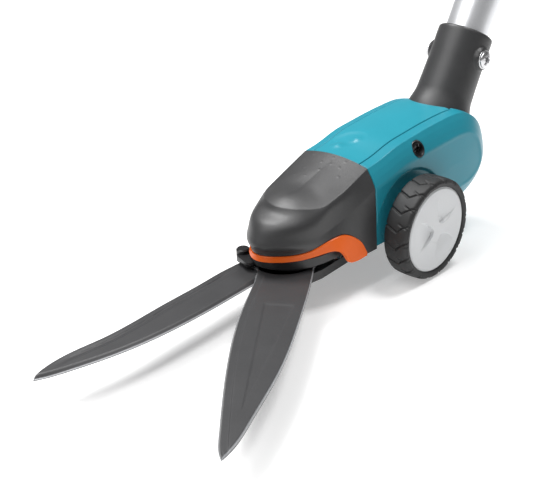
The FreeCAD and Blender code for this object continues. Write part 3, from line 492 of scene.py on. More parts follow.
def side_x(y, z, outline, screws):
    """X of the side: it falls away to the ridge, with the wheel's well and the screws' recesses sunk in."""
    flat = np.stack([y.ravel(), z.ravel()], -1)
    away = np.empty(len(flat))
    for start in range(0, len(flat), 4000):
        part = flat[start:start + 4000]
        away[start:start + 4000] = np.min(np.linalg.norm(part[:, None] - outline[None], axis=2), axis=1)
    away = away.reshape(y.shape)
    x = np.interp(away, *np.array(SIDE_SLOPE).T)
    x += 0.25 * np.exp(-((away - 10.2) / 1.2) ** 2) * ease(-5, 40, y)
    reach = np.hypot(y, z)
    x -= WELL_DEPTH * (1 - ease(WELL_RADIUS - 0.9, WELL_RADIUS, reach))
    for screw_y, screw_z, seat in screws:
        hole = 1 - ease(3.9, 4.3, np.hypot(y - screw_y, z - screw_z))
        x = blend(x, np.minimum(x, seat), hole)
    return x


def shell_grid(screws):
    rows = ridge_rows(0.62)
    line, _ = ridge_frame(rows)
    outline = spline(RIDGE, np.linspace(0, 1, 700))
    covered = rows < rows[np.argmax(line[:, 0] > COVER_REAR + REAR_SLOT)]
    inner = np.where(covered, COVER_HALF + SEAM, SEAM / 2)[:, None]
    top = top_strip(rows, blend(inner, RIDGE_HALF, np.linspace(0, 1, 16)[None, :-1]))
    foot = np.stack([blend(BODY_FRONT, RIDGE[-1][0], rows), np.full(len(rows), FLOOR)], -1)
    down = (np.linspace(0, 1, 84) ** 1.12)[None, :, None]
    side_yz = blend(line[:, None], foot[:, None], down)
    side = np.dstack([side_x(side_yz[..., 0], side_yz[..., 1], outline, screws), side_yz])
    under = np.repeat(side[:, -1:], 5, axis=1)
    under[..., 0] = blend(side[:, -1:, 0], 24.0, np.linspace(0.2, 1, 5)[None])
    return np.concatenate([top, side, under], axis=1)


def body_pieces():
    inside = (5, 20, 20)
    left = skin(shell_grid(SCREWS), inside)
    right = mirrored(skin(shell_grid([]), inside))
    make_piece("body_shell_left", left, "frame", "teal_shell", ["shell_left"], sharp=64)
    make_piece("body_shell_right", right, "frame", "teal_shell", ["shell_right"], sharp=64)
    rows = ridge_rows(0.5)
    line, _ = ridge_frame(rows)
    rows = rows[(line[:, 0] < COVER_REAR - 0.1) & (line[:, 1] > 30)]
    half = COVER_HALF - SEAM
    cover = skin(top_strip(rows, np.tile(np.linspace(-half, half, 66), (len(rows), 1))), inside)
    make_piece("body_cover", cover, "frame", "teal_cover", ["top_cover"])


def section_outline(steps, shrink):
    """The body's section at its front face, closed, as (x, z)."""
    half = [(0.0, 40.4), (9.0, 39.9), (17.0, 38.7), (RIDGE_HALF, 37.7), (23.7, 34.6), (25.6, 31.2),
            (27.0, 27.8), (27.6, 20.0), (28.2, 5.0), (28.5, FLOOR), (20.0, FLOOR), (0.0, FLOOR)]
    full = np.array(half + [(-x, z) for x, z in half[-2:0:-1]] + [half[0]])
    run = run_along(full)
    at = np.linspace(0, run[-1], steps, endpoint=False)
    line = np.stack([np.interp(at, run, full[:, 0]), np.interp(at, run, full[:, 1])], -1)
    centre = np.array([0, 17.0])
    return centre + (line - centre) * (1 - shrink / 28.0)


def end_wall(y, hole, shrink, thick):
    """Flat wall across the section, with a round hole for the swivel."""
    outline = section_outline(240, shrink)
    angle = np.arctan2(outline[:, 1] - SWIVEL_Z, outline[:, 0])
    inner = np.stack([hole * np.cos(angle), SWIVEL_Z + hole * np.sin(angle)], -1)
    flat = blend(inner[:, None], outline[:, None], np.linspace(0, 1, 6)[None, :, None])
    grid = np.dstack([flat[..., 0], np.full(flat.shape[:2], y), flat[..., 1]])
    return skin(grid, (0, y + thick, SWIVEL_Z), abs(thick), 0.2, wrap=True)


# ---- head ----
# Half of the nose from the swivel joint to the tip. Each station gives the spine, the ridge, and then
# points down the flank: valley under the ridge, shoulder, crease, bulge, undercut and foot.
NOSE = [
    [(0, -29.0, 40.4), (21.5, -29.0, 37.7), (22.1, -29.0, 36.7), (25.0, -29.0, 32.2), (27.0, -29.0, 27.6),
     (27.7, -29.0, 15.0), (28.1, -29.0, 5.0), (28.5, -29.0, -6.5)],
    [(0, -36.0, 37.5), (21.4, -38.0, 34.2), (21.9, -38.1, 33.4), (24.0, -38.3, 28.7), (25.8, -38.5, 22.8),
     (27.1, -38.5, 12.0), (27.7, -38.4, 4.0), (28.4, -38.0, -6.5)],
    [(0, -43.5, 34.8), (21.2, -48.0, 30.4), (21.7, -48.2, 29.7), (23.2, -48.4, 24.8), (24.3, -48.7, 18.4),
     (26.0, -49.0, 9.5), (27.0, -49.0, 3.0), (28.0, -48.5, -6.5)],
    [(0, -49.5, 32.7), (20.4, -56.0, 27.9), (21.0, -56.3, 27.1), (22.1, -57.0, 21.8), (22.8, -57.4, 14.8),
     (24.6, -57.6, 9.0), (25.8, -57.4, 4.0), (27.0, -57.0, -2.0)],
    [(0, -54.0, 31.4), (19.4, -61.2, 26.5), (20.0, -62.0, 25.5), (21.3, -64.6, 19.6), (21.3, -65.7, 12.6),
     (21.8, -66.3, 8.2), (21.7, -66.0, 5.0), (21.8, -66.0, -1.0)],
    [(0, -58.0, 30.6), (13.8, -69.0, 26.3), (14.4, -70.0, 25.0), (17.5, -73.8, 19.3), (18.0, -75.7, 12.6),
     (18.2, -76.2, 8.8), (17.4, -75.5, 6.6), (17.4, -76.0, -1.0)],
    [(0, -60.5, 30.2), (7.0, -73.4, 26.3), (7.4, -74.5, 24.8), (10.4, -81.4, 19.9), (11.2, -84.6, 12.9),
     (11.3, -85.3, 9.0), (10.7, -84.3, 6.8), (10.8, -85.0, -1.0)],
    [(0, -62.0, 30.0), (0, -74.9, 26.2), (0, -76.1, 24.7), (0, -84.6, 20.4), (0, -90.0, 13.1),
     (0, -91.2, 9.3), (0, -90.0, 7.0), (0, -90.6, -1.0)],
]
TRIM_TOP = [(-95, 4.5), (-84, 4.5), (-76, 4.7), (-70, 5.8), (-65.5, 7.6), (-61.5, 9.0), (-58, 9.8),
            (-55, 10.1), (-52, 9.8), (-49, 8.7), (-46, 6.8), (-43, 4.4), (-40.5, 1.6), (-38.8, -1.6),
            (-37.4, -5.0), (-36.8, -6.6)]
TRIM_FOOT = [(-95, 1.5), (-84, 1.5), (-74, 1.5), (-68.5, 1.9), (-64.5, 2.6), (-61, 3.2), (-58.6, 3.0),
             (-56.4, 2.0), (-54.2, 0.0), (-52.4, -2.8), (-50.5, -5.4), (-48.5, -6.4), (-36, -6.6)]
TRIM_END = -37.3
PIMPLES = [(-3.9, -35.9), (2.5, -35.5), (8.7, -35.8), (-0.7, -41.2), (-4.7, -47.8), (-11.4, -49.0),
           (12.7, -41.3), (-16.5, -35.7), (-13.4, -31.4), (0.5, -31.0), (8.9, -31.2), (-10.0, -42.0)]
PIMPLE_HIGH, PIMPLE_WIDE = 0.15, 0.55
TRIM_PROUD = 0.55        # how far the trim stands out of the flank


def nose_lines(count):
    """The eight lines of NOSE at count stations round the whole nose, left to right."""
    half = np.array(NOSE, float)
    full = np.concatenate([half, half[-2::-1] * [-1, 1, 1]])
    run = run_along(full[:, 3])
    run /= run[-1]
    return np.stack([spline_at(run, full[:, k], np.linspace(0, 1, count)) for k in range(8)], axis=1)


def deck(lines, cols):
    """Top of the nose, spine to ridge, crowned across."""
    share = np.linspace(0, 1, cols)[None, :, None]
    spine, ridge = lines[:, :1], lines[:, 1:2]
    grid = blend(spine, ridge, share)
    grid[..., 2] = ridge[..., 2] + (spine[..., 2] - ridge[..., 2]) * (1 - share[..., 0] ** 2)
    for x, y in PIMPLES:
        near = np.hypot(grid[..., 0] - x, grid[..., 1] - y)
        grid[..., 2] += PIMPLE_HIGH * np.exp(-(near / PIMPLE_WIDE) ** 2)
    return grid


def flank(lines):
    """Dense lines down from the ridge; behind the snout they turn a soft corner at the crease."""
    made = []
    for station in lines:
        smooth = spline(station[1:], np.linspace(0, 1, 240))
        runs = np.linalg.norm(np.diff(station[1:], axis=0), axis=1)
        upper = int(round(240 * runs[:3].sum() / runs.sum()))
        bent = np.concatenate([spline(station[1:5], np.linspace(0, 1, upper, endpoint=False)),
                               spline(station[4:], np.linspace(0, 1, 240 - upper))])
        made.append(blend(smooth, bent, ease(-70, -56, station[4, 1])))
    return np.stack(made)


def level_at(table, y):
    table = np.array(table, float)
    return spline_at(table[:, 0], table[:, 1:], np.clip(y, table[0, 0], table[-1, 0]))[:, 0]


def crossing(line, table):
    """Where a line down the flank falls below a level given by y, as a row number."""
    over = line[:, 2] - level_at(table, line[:, 1])
    if over.min() >= 0:
        return len(line) - 1.0
    k = max(int(np.argmax(over < 0)), 1)
    return k - 1 + over[k - 1] / (over[k - 1] - over[k])


def part_of(line, start, end, cols):
    at = np.linspace(start, end, cols)
    return np.stack([np.interp(at, np.arange(len(line)), line[:, k]) for k in range(3)], -1)


def head_pieces():
    lines = nose_lines(330)
    down = flank(lines)
    floor_level = [(-200, FLOOR - 0.9), (0, FLOOR - 0.9), (200, FLOOR - 0.9)]
    sides = []
    for line in down:
        behind = line[-1, 1] > TRIM_END
        end = crossing(line, floor_level) if behind else crossing(line, TRIM_TOP) - 0.8
        sides.append(part_of(line, 0, end, 64)[1:])
    nose = np.concatenate([deck(lines, 44), np.stack(sides)], axis=1)
    make_piece("nose_cover", folded_skin(nose, SHELL, 0.25), "head", "dark_plastic", ["nose_cap"], sharp=75,
               weld=True)
    band = []
    for line in down:
        if line[-1, 1] <= TRIM_END:
            normal = unit(np.array([line[-1, 0], line[-1, 1] + 45.0, 0.0]) * [1.0, 0.75, 1.0])
            foot = crossing(line, TRIM_FOOT)
            band.append(part_of(line, crossing(line, TRIM_TOP), foot, 20) + normal * TRIM_PROUD)
    make_piece("trim_strip", skin(np.stack(band), (0, -45, 5), 1.9, 0.35), "head", "orange_plastic",
               ["trim_band"], sharp=40)
    make_piece("nose_back_wall", end_wall(HEAD_BACK - 0.1, 13.2, 1.7, -1.4), "head", "dark_plastic")
    make_piece("body_front_wall", end_wall(BODY_FRONT + 0.1, 11.2, 0.9, 1.4), "frame", "teal_shell")


# ---- blades ----
LOWER_BACK = [(-18.5, 14.5), (14.0, 19.5), (44.0, 17.0), (72.0, 14.8), (111.0, 11.9), (148.5, 9.4),
              (151.0, 8.2)]
LOWER_CUT = [(-18.5, -4.0), (14.0, -2.0), (48.0, -4.0), (77.0, -5.3), (111.0, -3.0), (135.0, 2.3),
             (148.0, 6.7), (151.0, 8.2)]
UPPER_BACK = [(-8.0, 15.0), (6.0, 16.5), (32.0, 18.0), (57.0, 18.4), (104.4, 17.4), (142.9, 12.7),
              (165.0, 7.9), (167.5, 6.8)]
UPPER_CUT = [(-8.0, -13.0), (12.0, -11.5), (51.0, -11.2), (88.0, -8.5), (127.0, -2.6), (154.0, 2.4),
             (164.5, 5.3), (167.5, 6.8)]
BLADE_THICK = 2.0
LOWER_FLOOR, UPPER_FLOOR = -10.1, -8.0
LOWER_HEADING, UPPER_HEADING = -90.0, -57.0    # degrees from +X towards +Y
PANEL = (46.0, 137.0)    # ends of the upper blade's sunk panel
PANEL_DEEP = 0.2


def blade_edge(table, u):
    table = np.array(table, float)
    return spline_at(table[:, 0], table[:, 1:], u)[:, 0]


def blade_solid(back, cut, relief, floor, heading, flip):
    """A blade from its two edges; relief gives the height of its top face and how bare the metal is."""
    low, high = back[0][0], back[-1][0]
    u = np.unique(np.concatenate([np.linspace(low, high - 4, 240), high - np.geomspace(4, 0.02, 14)]))
    share = (1 - np.cos(np.linspace(0, math.pi, 90))) / 2
    v = blend(blade_edge(back, u)[:, None], blade_edge(cut, u)[:, None], share[None])
    uu = np.broadcast_to(u[:, None], v.shape)
    from_back = np.abs(v[:, :1] - v)
    from_cut = np.abs(v - v[:, -1:])
    height, bare = relief(uu, v, from_back, from_cut)
    angle = math.radians(heading)
    vv = -v if flip else v
    x = uu * math.cos(angle) - vv * math.sin(angle)
    y = uu * math.sin(angle) + vv * math.cos(angle) + PIVOT_Y
    top = np.stack([x, y, floor + height], -1)
    under = np.stack([x, y, np.full(x.shape, floor)], -1)
    if grid_normals(top)[..., 2].sum() < 0:
        top, under, bare = top[:, ::-1], under[:, ::-1], bare[:, ::-1]
    return closed_between(top, under), np.concatenate([bare.ravel(), bare.ravel() * 0])


def lower_relief(u, v, from_back, from_cut):
    height = np.full(u.shape, BLADE_THICK)
    rim = ease(18, 34, u) * (1 - ease(120, 142, u))
    height += rim * (0.35 * (1 - ease(1.6, 2.6, from_back)) - 0.55 * ease(2.6, 3.4, from_back)
                     * (1 - ease(4.6, 6.2, from_back)))
    grind = ease(8, 16, u)
    height -= grind * 1.5 * (1 - ease(0.0, 2.6, from_cut))
    height -= 0.5 * (1 - ease(0.0, 0.6, from_back))
    return height, 0.55 * grind * (1 - ease(0.3, 0.8, from_cut)) + 0.12 * (1 - ease(0.2, 0.5, from_back))


def upper_relief(u, v, from_back, from_cut):
    height = np.full(u.shape, BLADE_THICK)
    start, end = PANEL
    near_side = blend(-1.4, 7.4, (u - 47.6) / 88.0)
    far_side = blend(13.6, 8.2, (u - 52.0) / 84.0)
    across = ease(0, 0.8, v - near_side) * ease(0, 0.8, far_side - v)
    panel = across * ease(start, start + 2.5, u) * (1 - ease(end - 2, end, u))
    height -= PANEL_DEEP * panel
    grind = ease(15, 23, u)
    height -= grind * 0.32 * (1 - ease(3.8, 4.6, from_cut)) + grind * 1.35 * (1 - ease(0.0, 1.3, from_cut))
    height -= 0.5 * (1 - ease(0.0, 0.6, from_back))
    return height, grind * 0.35 * (1 - ease(0.25, 0.7, from_cut)) + 0.6 * (1 - ease(0.2, 0.5, from_back))


def blade_pieces():
    solid, bare = blade_solid(LOWER_BACK, LOWER_CUT, lower_relief, LOWER_FLOOR, LOWER_HEADING, True)
    make_piece("lower_blade_plate", solid, "head", "blade_coating", ["lower_blade"], sharp=30, bare=bare)
    solid, bare = blade_solid(UPPER_BACK, UPPER_CUT, upper_relief, UPPER_FLOOR, UPPER_HEADING, False)
    top = UPPER_FLOOR + BLADE_THICK
    disc = turned([(4.1, UPPER_FLOOR), (16.4, UPPER_FLOOR), (17.0, -7.6), (17.0, -6.4), (16.4, top),
                   (4.1, top)], 120, (0, PIVOT_Y, 0), "z")
    bare = np.concatenate([bare, np.zeros(len(disc[0]))])
    make_piece("upper_blade_plate", merged(solid, disc), "upper_blade_body", "blade_coating", ["upper_blade"],
               sharp=30, bare=bare)


# ---- wheels ----
HUB_SCOOPS = [178.0, 58.0, -62.0]    # headings of the scoops, degrees from +Y towards +Z
SCOOP_START = 4.0        # from the wheel's middle
SCOOP_DEEP = 1.6
SCOOP_FLARE = 2.72
HUB_FACE_DEEP = 4.0
TREAD_BLOCKS = 18
TREAD_START = 33.0       # degrees
TREAD_DEPTH = 0.9


def tyre_solid(inner, outer):
    """Tyre with chevron grooves; the section goes round from the bore over the tread."""
    half = (outer - inner) / 2
    tread = np.linspace(inner + 1.4, outer - 1.4, 36)
    section = [(inner + 0.1, HUB_RADIUS + 0.1), (inner, 24.6), (inner + 0.1, TYRE_RADIUS - 2.2),
               (inner + 0.5, TYRE_RADIUS - 0.9)]
    section += [(x, TYRE_RADIUS - 0.6 * abs((x - inner) / half - 1) ** 3) for x in tread]
    section += [(outer - 0.5, TYRE_RADIUS - 0.9), (outer - 0.1, TYRE_RADIUS - 2.2), (outer, 26.0),
                (outer - 0.2, 24.4), (outer - 0.5, HUB_RADIUS + 0.5), (outer - 1.2, HUB_RADIUS + 0.1)]
    section = np.array(section)
    angle = np.linspace(0, 360, 720, endpoint=False)[:, None]
    x = section[None, :, 0]
    radius = np.broadcast_to(section[None, :, 1], (720, len(section))).copy()
    middle = inner + 1.12 * half
    sweep = np.where(x < middle, 6.0 * ((middle - x) / 8.0), 11.0 * np.clip((x - middle) / 6.5, 0, 1) ** 0.8)
    pitch = 360.0 / TREAD_BLOCKS
    per_degree = math.radians(1) * TYRE_RADIUS
    off = np.abs((angle - TREAD_START - sweep + pitch / 2) % pitch - pitch / 2) * per_degree
    second = np.abs((angle - TREAD_START + sweep * 0.4 + pitch) % pitch - pitch / 2) * per_degree
    groove = np.maximum(1 - ease(0.35, 0.85, off), 0.5 * (1 - ease(0.3, 0.8, second)) * (x > middle))
    depth = TREAD_DEPTH * groove * ease(24.5, 26.6, radius)
    radius -= depth * np.where((x > middle - 0.8) & (x < middle + 0.8), 0.75, 1.0)
    turn = np.radians(angle)
    grid = np.stack([np.broadcast_to(x, radius.shape), -radius * np.cos(turn), radius * np.sin(turn)], -1)
    return ring_solid(grid)


def hub_face(outside, y, z):
    """X of the hub's outer face: a low dome with three scoops that fade out towards the rim."""
    reach = np.hypot(y, z)
    x = outside - 0.15 - 0.9 * (reach / HUB_RADIUS) ** 2
    x -= 0.5 * ease(HUB_RADIUS - 1.0, HUB_RADIUS - 0.1, reach)
    for heading in HUB_SCOOPS:
        c, s = math.cos(math.radians(heading)), math.sin(math.radians(heading))
        along, across = y * c + z * s, -y * s + z * c
        inside = SCOOP_FLARE * np.sqrt(np.maximum(along - SCOOP_START, 0)) - np.abs(across)
        x -= SCOOP_DEEP * ease(0, 0.8, inside) * (1 - ease(6, 20, reach)) * (along > SCOOP_START)
    return x


def hub_solid(outside, low, high):
    angle = np.linspace(0, 2 * math.pi, 260, endpoint=False)[:, None]
    reach = np.linspace(low, high, 62 if high > 10 else 20)[None]
    y, z = reach * np.cos(angle), reach * np.sin(angle)
    front = np.stack([hub_face(outside, y, z), y, z], -1)
    back = front.copy()
    back[..., 0] = outside - HUB_FACE_DEEP
    return facing(front, back, [1, 0, 0])


def wheel_pieces():
    for side, sign in (("left", 1), ("right", -1)):
        low, high = (np.array(corner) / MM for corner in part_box("tyre_" + side))
        inner, outer = sorted((sign * low[0], sign * high[0]))
        outside = outer + 0.5
        rim = turned([(HUB_RADIUS, outside - 4.2), (HUB_RADIUS, inner + 1.1), (HUB_RADIUS - 0.6, inner + 0.5),
                      (HUB_RADIUS - 3, inner + 0.5), (HUB_RADIUS - 3, outside - 4.2)], 180, (0, 0, 0), "x")
        boss = turned([(8.5, outside - 4.2), (8.5, inner + 1.0), (8.0, inner + 0.5), (4.1, inner + 0.5),
                       (4.1, outside - 4.2)], 90, (0, 0, 0), "x")
        solids = {
            "tread_tyre_": (tyre_solid(inner, outer), "tyre_rubber", "tyre_"),
            "scooped_hub_": (merged(hub_solid(outside, 7.04, HUB_RADIUS), rim, boss), "hub_plastic",
                             "wheel_hub_"),
            "centre_cap_": (hub_solid(outside, 0.02, 6.98), "hub_plastic", "hub_cap_"),
        }
        for name, (solid, slot, node) in solids.items():
            solid = solid if sign > 0 else mirrored(solid)
            make_piece(name + side, solid, "wheel_" + side, slot, [node + side], sharp=50)


# ---- tube socket and its screw ----
SOCKET_FOOT, SOCKET_TOP = 38.0, 95.5
SOCKET_RADIUS = 16.0
SOCKET_BORE = 12.7
BOSS_HALF = 17.4         # X of the flat face of the bolt's boss


def socket_solid():
    """Sleeve with a flared foot, a rolled top edge and a round boss each side for the cross bolt."""
    s = np.concatenate([np.linspace(SOCKET_FOOT, 92, 110), [93.4, 94.4, 95.0, 95.4, SOCKET_TOP]])
    flare = 0.9 * (1 - ease(40, 78, s[:110])) + 2.2 * (1 - ease(44, 58, s[:110]))
    radius = np.concatenate([SOCKET_RADIUS + flare, [SOCKET_RADIUS, 15.9, 15.6, 15.0, 14.2]])
    angle = np.linspace(0, 2 * math.pi, 240, endpoint=False)[:, None]
    x = radius[None] * np.cos(angle)
    d = radius[None] * np.sin(angle)
    near = np.hypot(d, s[None] - BOLT_AT)
    boss = 1 - ease(6.0, 7.2, near)
    x = blend(x, np.sign(x) * np.maximum(np.abs(x), BOSS_HALF), boss)
    front = np.stack([x, d, np.broadcast_to(s[None], x.shape)], -1)
    back = np.stack([SOCKET_BORE * np.cos(angle) + 0 * s[None], SOCKET_BORE * np.sin(angle) + 0 * s[None],
                     np.broadcast_to(np.minimum(s, 95.2)[None], x.shape)], -1)
    return facing(front, back, front - [0, 0, (SOCKET_FOOT + SOCKET_TOP) / 2])


def recess_shade_cup(y, z, seat):
    """Black cup round a screw head, from its seat up to the body's side: painted shade that darkens the walls
    of the deep screw recess.
    """
    angle = np.linspace(0, 2 * math.pi, 96, endpoint=False)
    rim_y, rim_z = y + 4.3 * np.cos(angle), z + 4.3 * np.sin(angle)
    top = side_x(rim_y, rim_z, spline(RIDGE, np.linspace(0, 1, 700)), []) + 0.12
    top = np.maximum(top, seat + 0.6)
    floor = np.full(96, seat)
    rows = [(3.4, floor + 0.3), (3.6, top - 0.15), (3.9, top), (4.35, top), (4.4, floor), (3.4, floor)]
    grid = np.stack([np.column_stack([x, y + radius * np.cos(angle), z + radius * np.sin(angle)])
                     for radius, x in rows], axis=1)
    return ring_solid(grid)


def fastening_pieces():
    make_piece("socket_sleeve", on_tube(socket_solid()), "frame", "dark_plastic", ["tube_socket"], sharp=40)
    bolt = merged(moved(screw_head(4.6, 2.6), (17.3, 0, BOLT_AT)),
                  turned([(4.8, 17.3), (5.4, 17.4), (5.4, 17.9), (4.7, 18.1)], 72, (0, 0, BOLT_AT), "x"))
    make_piece("cross_bolt_head", on_tube(bolt), "frame", "bright_steel", ["socket_bolt"], sharp=40)
    heads = [moved(screw_head(3.5, 1.7), (seat, y, z)) for y, z, seat in SCREWS]
    make_piece("shell_screw_heads", merged(*heads), "frame", "black_screw", ["shell_screws"], sharp=40)
    # black cups in the screw recesses: painted shade of the deep recesses round the black screw heads
    recess_shade_cups = [recess_shade_cup(*screw) for screw in SCREWS]
    make_piece("screw_recess_shade_cups", merged(*recess_shade_cups), "frame", "black_plastic", sharp=50)


# ---- handle ----
# drawn with z up the tube, y away from its front
HANDLE_FOOT, HANDLE_TOP = 700.0, 905.0
GRIP_HALF = 16.0
GRIP_END = 13            # length of the rounded top
SIDE_POWER, FACE_POWER = 0.62, 0.72     # how square the section is
GRIP_SKIN = 1.9
LOCK_HALF, BAY_HALF = 3.3, 8.7          # half widths of the lock's slot and the trigger's bay
PAD_HALF = 8.8
GRIP_FRONT = [(700, -15.0), (755, -16.0), (795, -17.4), (830, -18.5), (865, -18.2), (891, -17.0),
              (905, -16.6)]
GRIP_REAR = [(700, 15.0), (755, 15.2), (800, 14.2), (850, 13.5), (880, 14.8), (897, 16.0), (905, 15.6)]
TRIGGER_PIN = (26.0, 775.0)
TRIGGER_OPEN = 22.0
LEVER = [(24, 0.8, 6.9), (60, 0.5, 5.6), (80, 1.7, 5.6), (92, 2.9, 5.6), (96, 2.9, 5.0)]
RIB_PITCH = 4.2


def turn_at(x):
    """How far round the section, from its side (0) to its front or rear (1), it is x from the middle."""
    return math.acos((x / GRIP_HALF) ** (1 / SIDE_POWER)) * 2 / math.pi


def grip_grid(s, turn):
    """Rounded handle surface at s, round from the front (-1) over the left side to the rear (1)."""
    s, turn = s[:, None], turn[None] * math.pi / 2
    front = spline_at([row[0] for row in GRIP_FRONT], np.array(GRIP_FRONT)[:, 1:], s.ravel())
    rear = spline_at([row[0] for row in GRIP_REAR], np.array(GRIP_REAR)[:, 1:], s.ravel())
    end = np.sqrt(np.clip(1 - (np.maximum(s - HANDLE_TOP + GRIP_END, 0) / GRIP_END) ** 2, 0, 1))
    x = np.maximum(GRIP_HALF * end * power(np.cos(turn), SIDE_POWER), 0.1)
    y = (rear + front) / 2 + (rear - front) / 2 * end * power(np.sin(turn), FACE_POWER)
    return np.stack([x, y, np.broadcast_to(s, x.shape)], -1)


def grip_shell():
    """Left half of the handle in bands that leave the trigger bay and the lock's slot open."""
    lock, bay = turn_at(LOCK_HALF), turn_at(BAY_HALF)
    dome = HANDLE_TOP - GRIP_END + GRIP_END * np.sin(np.linspace(0, math.pi / 2 - 0.02, 24))
    solids = []
    for low, high, start, end in ((HANDLE_FOOT, 759, -1, 1), (759, 769, -1, bay), (769, 789, -lock, bay),
                                  (789, 794, -1, bay), (794, HANDLE_TOP - 13.5, -1, 1)):
        s = np.linspace(low, high, max(4, int((high - low) / 1.5)))
        if high > 800:
            s = np.concatenate([s, dome])
        grid = grip_grid(s, np.linspace(start, end, 90))
        solids.append(skin(grid, (0, 0, (low + high) / 2), GRIP_SKIN, 0))
    return merged(*solids)


def trigger_guard():
    """Cheeks and floor round the trigger's pin, the lug of the lowest screw and a collar on the tube."""
    cheek = [(12.0, 757.6), (22.0, 757.0), (30.5, 758.4), (34.6, 764.0), (35.0, 776.0), (33.6, 787.0),
             (28.5, 793.4), (20.0, 795.4), (12.5, 796.8), (11.0, 777.0)]
    near = upright(slab(cheek, 8.6, 12.0, 1.2))
    floor = slab([(-9.4, 10.0), (0, 9.6), (9.4, 10.0), (9.9, 21.0), (9.0, 31.0), (0, 32.0), (-9.0, 31.0),
                  (-9.9, 21.0)], 757.2, 760.2, 0.8)
    lug = turned([(0.05, -13.2), (4.2, -13.2), (4.8, -12.6), (4.8, 12.6), (4.2, 13.2), (0.05, 13.2)], 72,
                 (0, 14.6, HANDLE_FOOT + 15), "x")
    collar = turned([(12.65, HANDLE_FOOT), (14.3, HANDLE_FOOT), (14.8, HANDLE_FOOT + 0.6),
                     (14.4, HANDLE_FOOT + 3), (12.65, HANDLE_FOOT + 3)], 120, (0, 0, 0), "z")
    return merged(near, mirrored(near), floor, lug, collar)


def ribbed_pad():
    """Soft pad with cross ribs on the front of the handle."""
    s = np.linspace(801.5, 886.5, 260)
    side = np.linspace(-turn_at(PAD_HALF), -1, 40)
    left = grip_grid(s, side)
    grid = np.concatenate([left, left[:, -2::-1] * [-1, 1, 1]], axis=1)
    grid[..., 1] -= 0.75 + 0.22 * np.cos(2 * math.pi * s / RIB_PITCH)[:, None]
    return skin(grid, (0, 0, 845), 1.3, 0.4)


def lever_sleeve():
    """Rounded finger lever over the trigger, open at its root, swung out as the trigger is at rest."""
    s = np.concatenate([np.linspace(24, 92, 90), 92 + 5 * np.sin(np.linspace(0.05, math.pi / 2, 16))])
    table = np.array(LEVER)
    middle, half = spline_at(table[:, 0], table[:, 1:], np.minimum(s, 95.0)).T
    end = np.sqrt(np.clip(1 - (np.maximum(s - 92, 0) / 5) ** 2, 0.0004, 1))
    angle = np.linspace(0, 2 * math.pi, 120, endpoint=False)[:, None]
    x = 8.8 * end * power(np.cos(angle), 0.5)
    y = middle + (half + 1.2) * end * power(np.sin(angle), 0.5)
    grid = np.stack([x, y, np.broadcast_to(s[None], x.shape)], -1)
    inner = np.stack([x * 0.93, middle + (y - middle) * 0.9, np.minimum(grid[..., 2], 96.2)], -1)
    points, faces = facing(grid, inner, grid - [0, 0, 60])
    swing = math.radians(TRIGGER_OPEN)
    y, z = points[:, 1], points[:, 2]
    points = np.stack([points[:, 0], TRIGGER_PIN[0] + y * math.cos(swing) + z * math.sin(swing),
                       TRIGGER_PIN[1] + z * math.cos(swing) - y * math.sin(swing)], -1)
    return points, faces


def handle_pieces():
    left = grip_shell()
    make_piece("grip_shell_left", on_tube(left), "frame", "dark_plastic", ["handle_shell_left"], sharp=40)
    make_piece("grip_shell_right", on_tube(mirrored(left)), "frame", "dark_plastic", ["handle_shell_right"],
               sharp=40)
    make_piece("trigger_guard", on_tube(trigger_guard()), "frame", "dark_plastic", sharp=40)
    make_piece("ribbed_grip_pad", on_tube(ribbed_pad()), "frame", "soft_grip", ["grip_pad"], sharp=40)
    make_piece("trigger_lever_sleeve", on_tube(lever_sleeve()), "trigger_lever", "orange_plastic", sharp=40)
    ring = turned([(4.7, -3.0), (5.5, -3.9), (9.2, -3.9), (10.0, -3.1), (10.0, 3.1), (9.2, 3.9), (5.5, 3.9),
                   (4.7, 3.0)], 120, (0, 0, HANDLE_TOP + 14), "x")
    stem = upright(slab([(-6.6, 893), (0, 892.6), (6.6, 893), (6.9, 902), (6.2, 909.5), (0, 911.5),
                         (-6.2, 909.5), (-6.9, 902)], -3.8, 3.8, 1.0))
    make_piece("hang_ring", on_tube(merged(ring, stem)), "frame", "orange_plastic", ["hang_loop"], sharp=40)
    heads = [moved(screw_head(3.0, 1.0), place)
             for place in ((15.1, 0.0, 842.0), (13.3, -11.5, 889.0), (13.0, 14.6, HANDLE_FOOT + 15))]
    make_piece("handle_screw_heads", on_tube(merged(*heads)), "frame", "black_screw", ["handle_screws"],
               sharp=40)


# ---- carrier under the nose ----
def carrier_pieces():
    """Black housing under the trim: a round shield over the pivot, a skirt, a knob and a lip."""
    shield = slab([(21.0, -38.0), (21.8, -52.0), (20.8, -64.0), (16.8, -74.0), (9.5, -82.6), (0.0, -86.8),
                   (-9.5, -84.8), (-17.0, -77.5), (-21.2, -66.0), (-21.8, -52.0), (-21.0, -38.0)],
                  -4.6, 1.8, 0.9)
    skirt = slab([(17.0, -56.0), (17.2, -68.0), (12.0, -78.0), (3.0, -82.6), (-7.0, -81.6), (-15.0, -75.0),
                  (-17.4, -64.0), (-17.0, -56.0)], -5.7, -4.2, 0.4)
    knob = turned([(0.05, -8.6), (3.0, -8.6), (3.7, -7.9), (3.7, -1.6), (3.0, -0.9), (0.05, -0.9)], 60,
                  (-19.6, -80.6, 0), "z")
    lip = slab([(-20.5, -84.0), (-14.0, -87.6), (-7.6, -88.2), (-6.2, -85.2), (-12.0, -82.6), (-18.0, -78.6)],
               -5.7, -3.2, 0.5)
    make_piece("blade_housing", merged(shield, skirt, knob, lip), "head", "black_plastic", ["blade_carrier"],
               sharp=40)


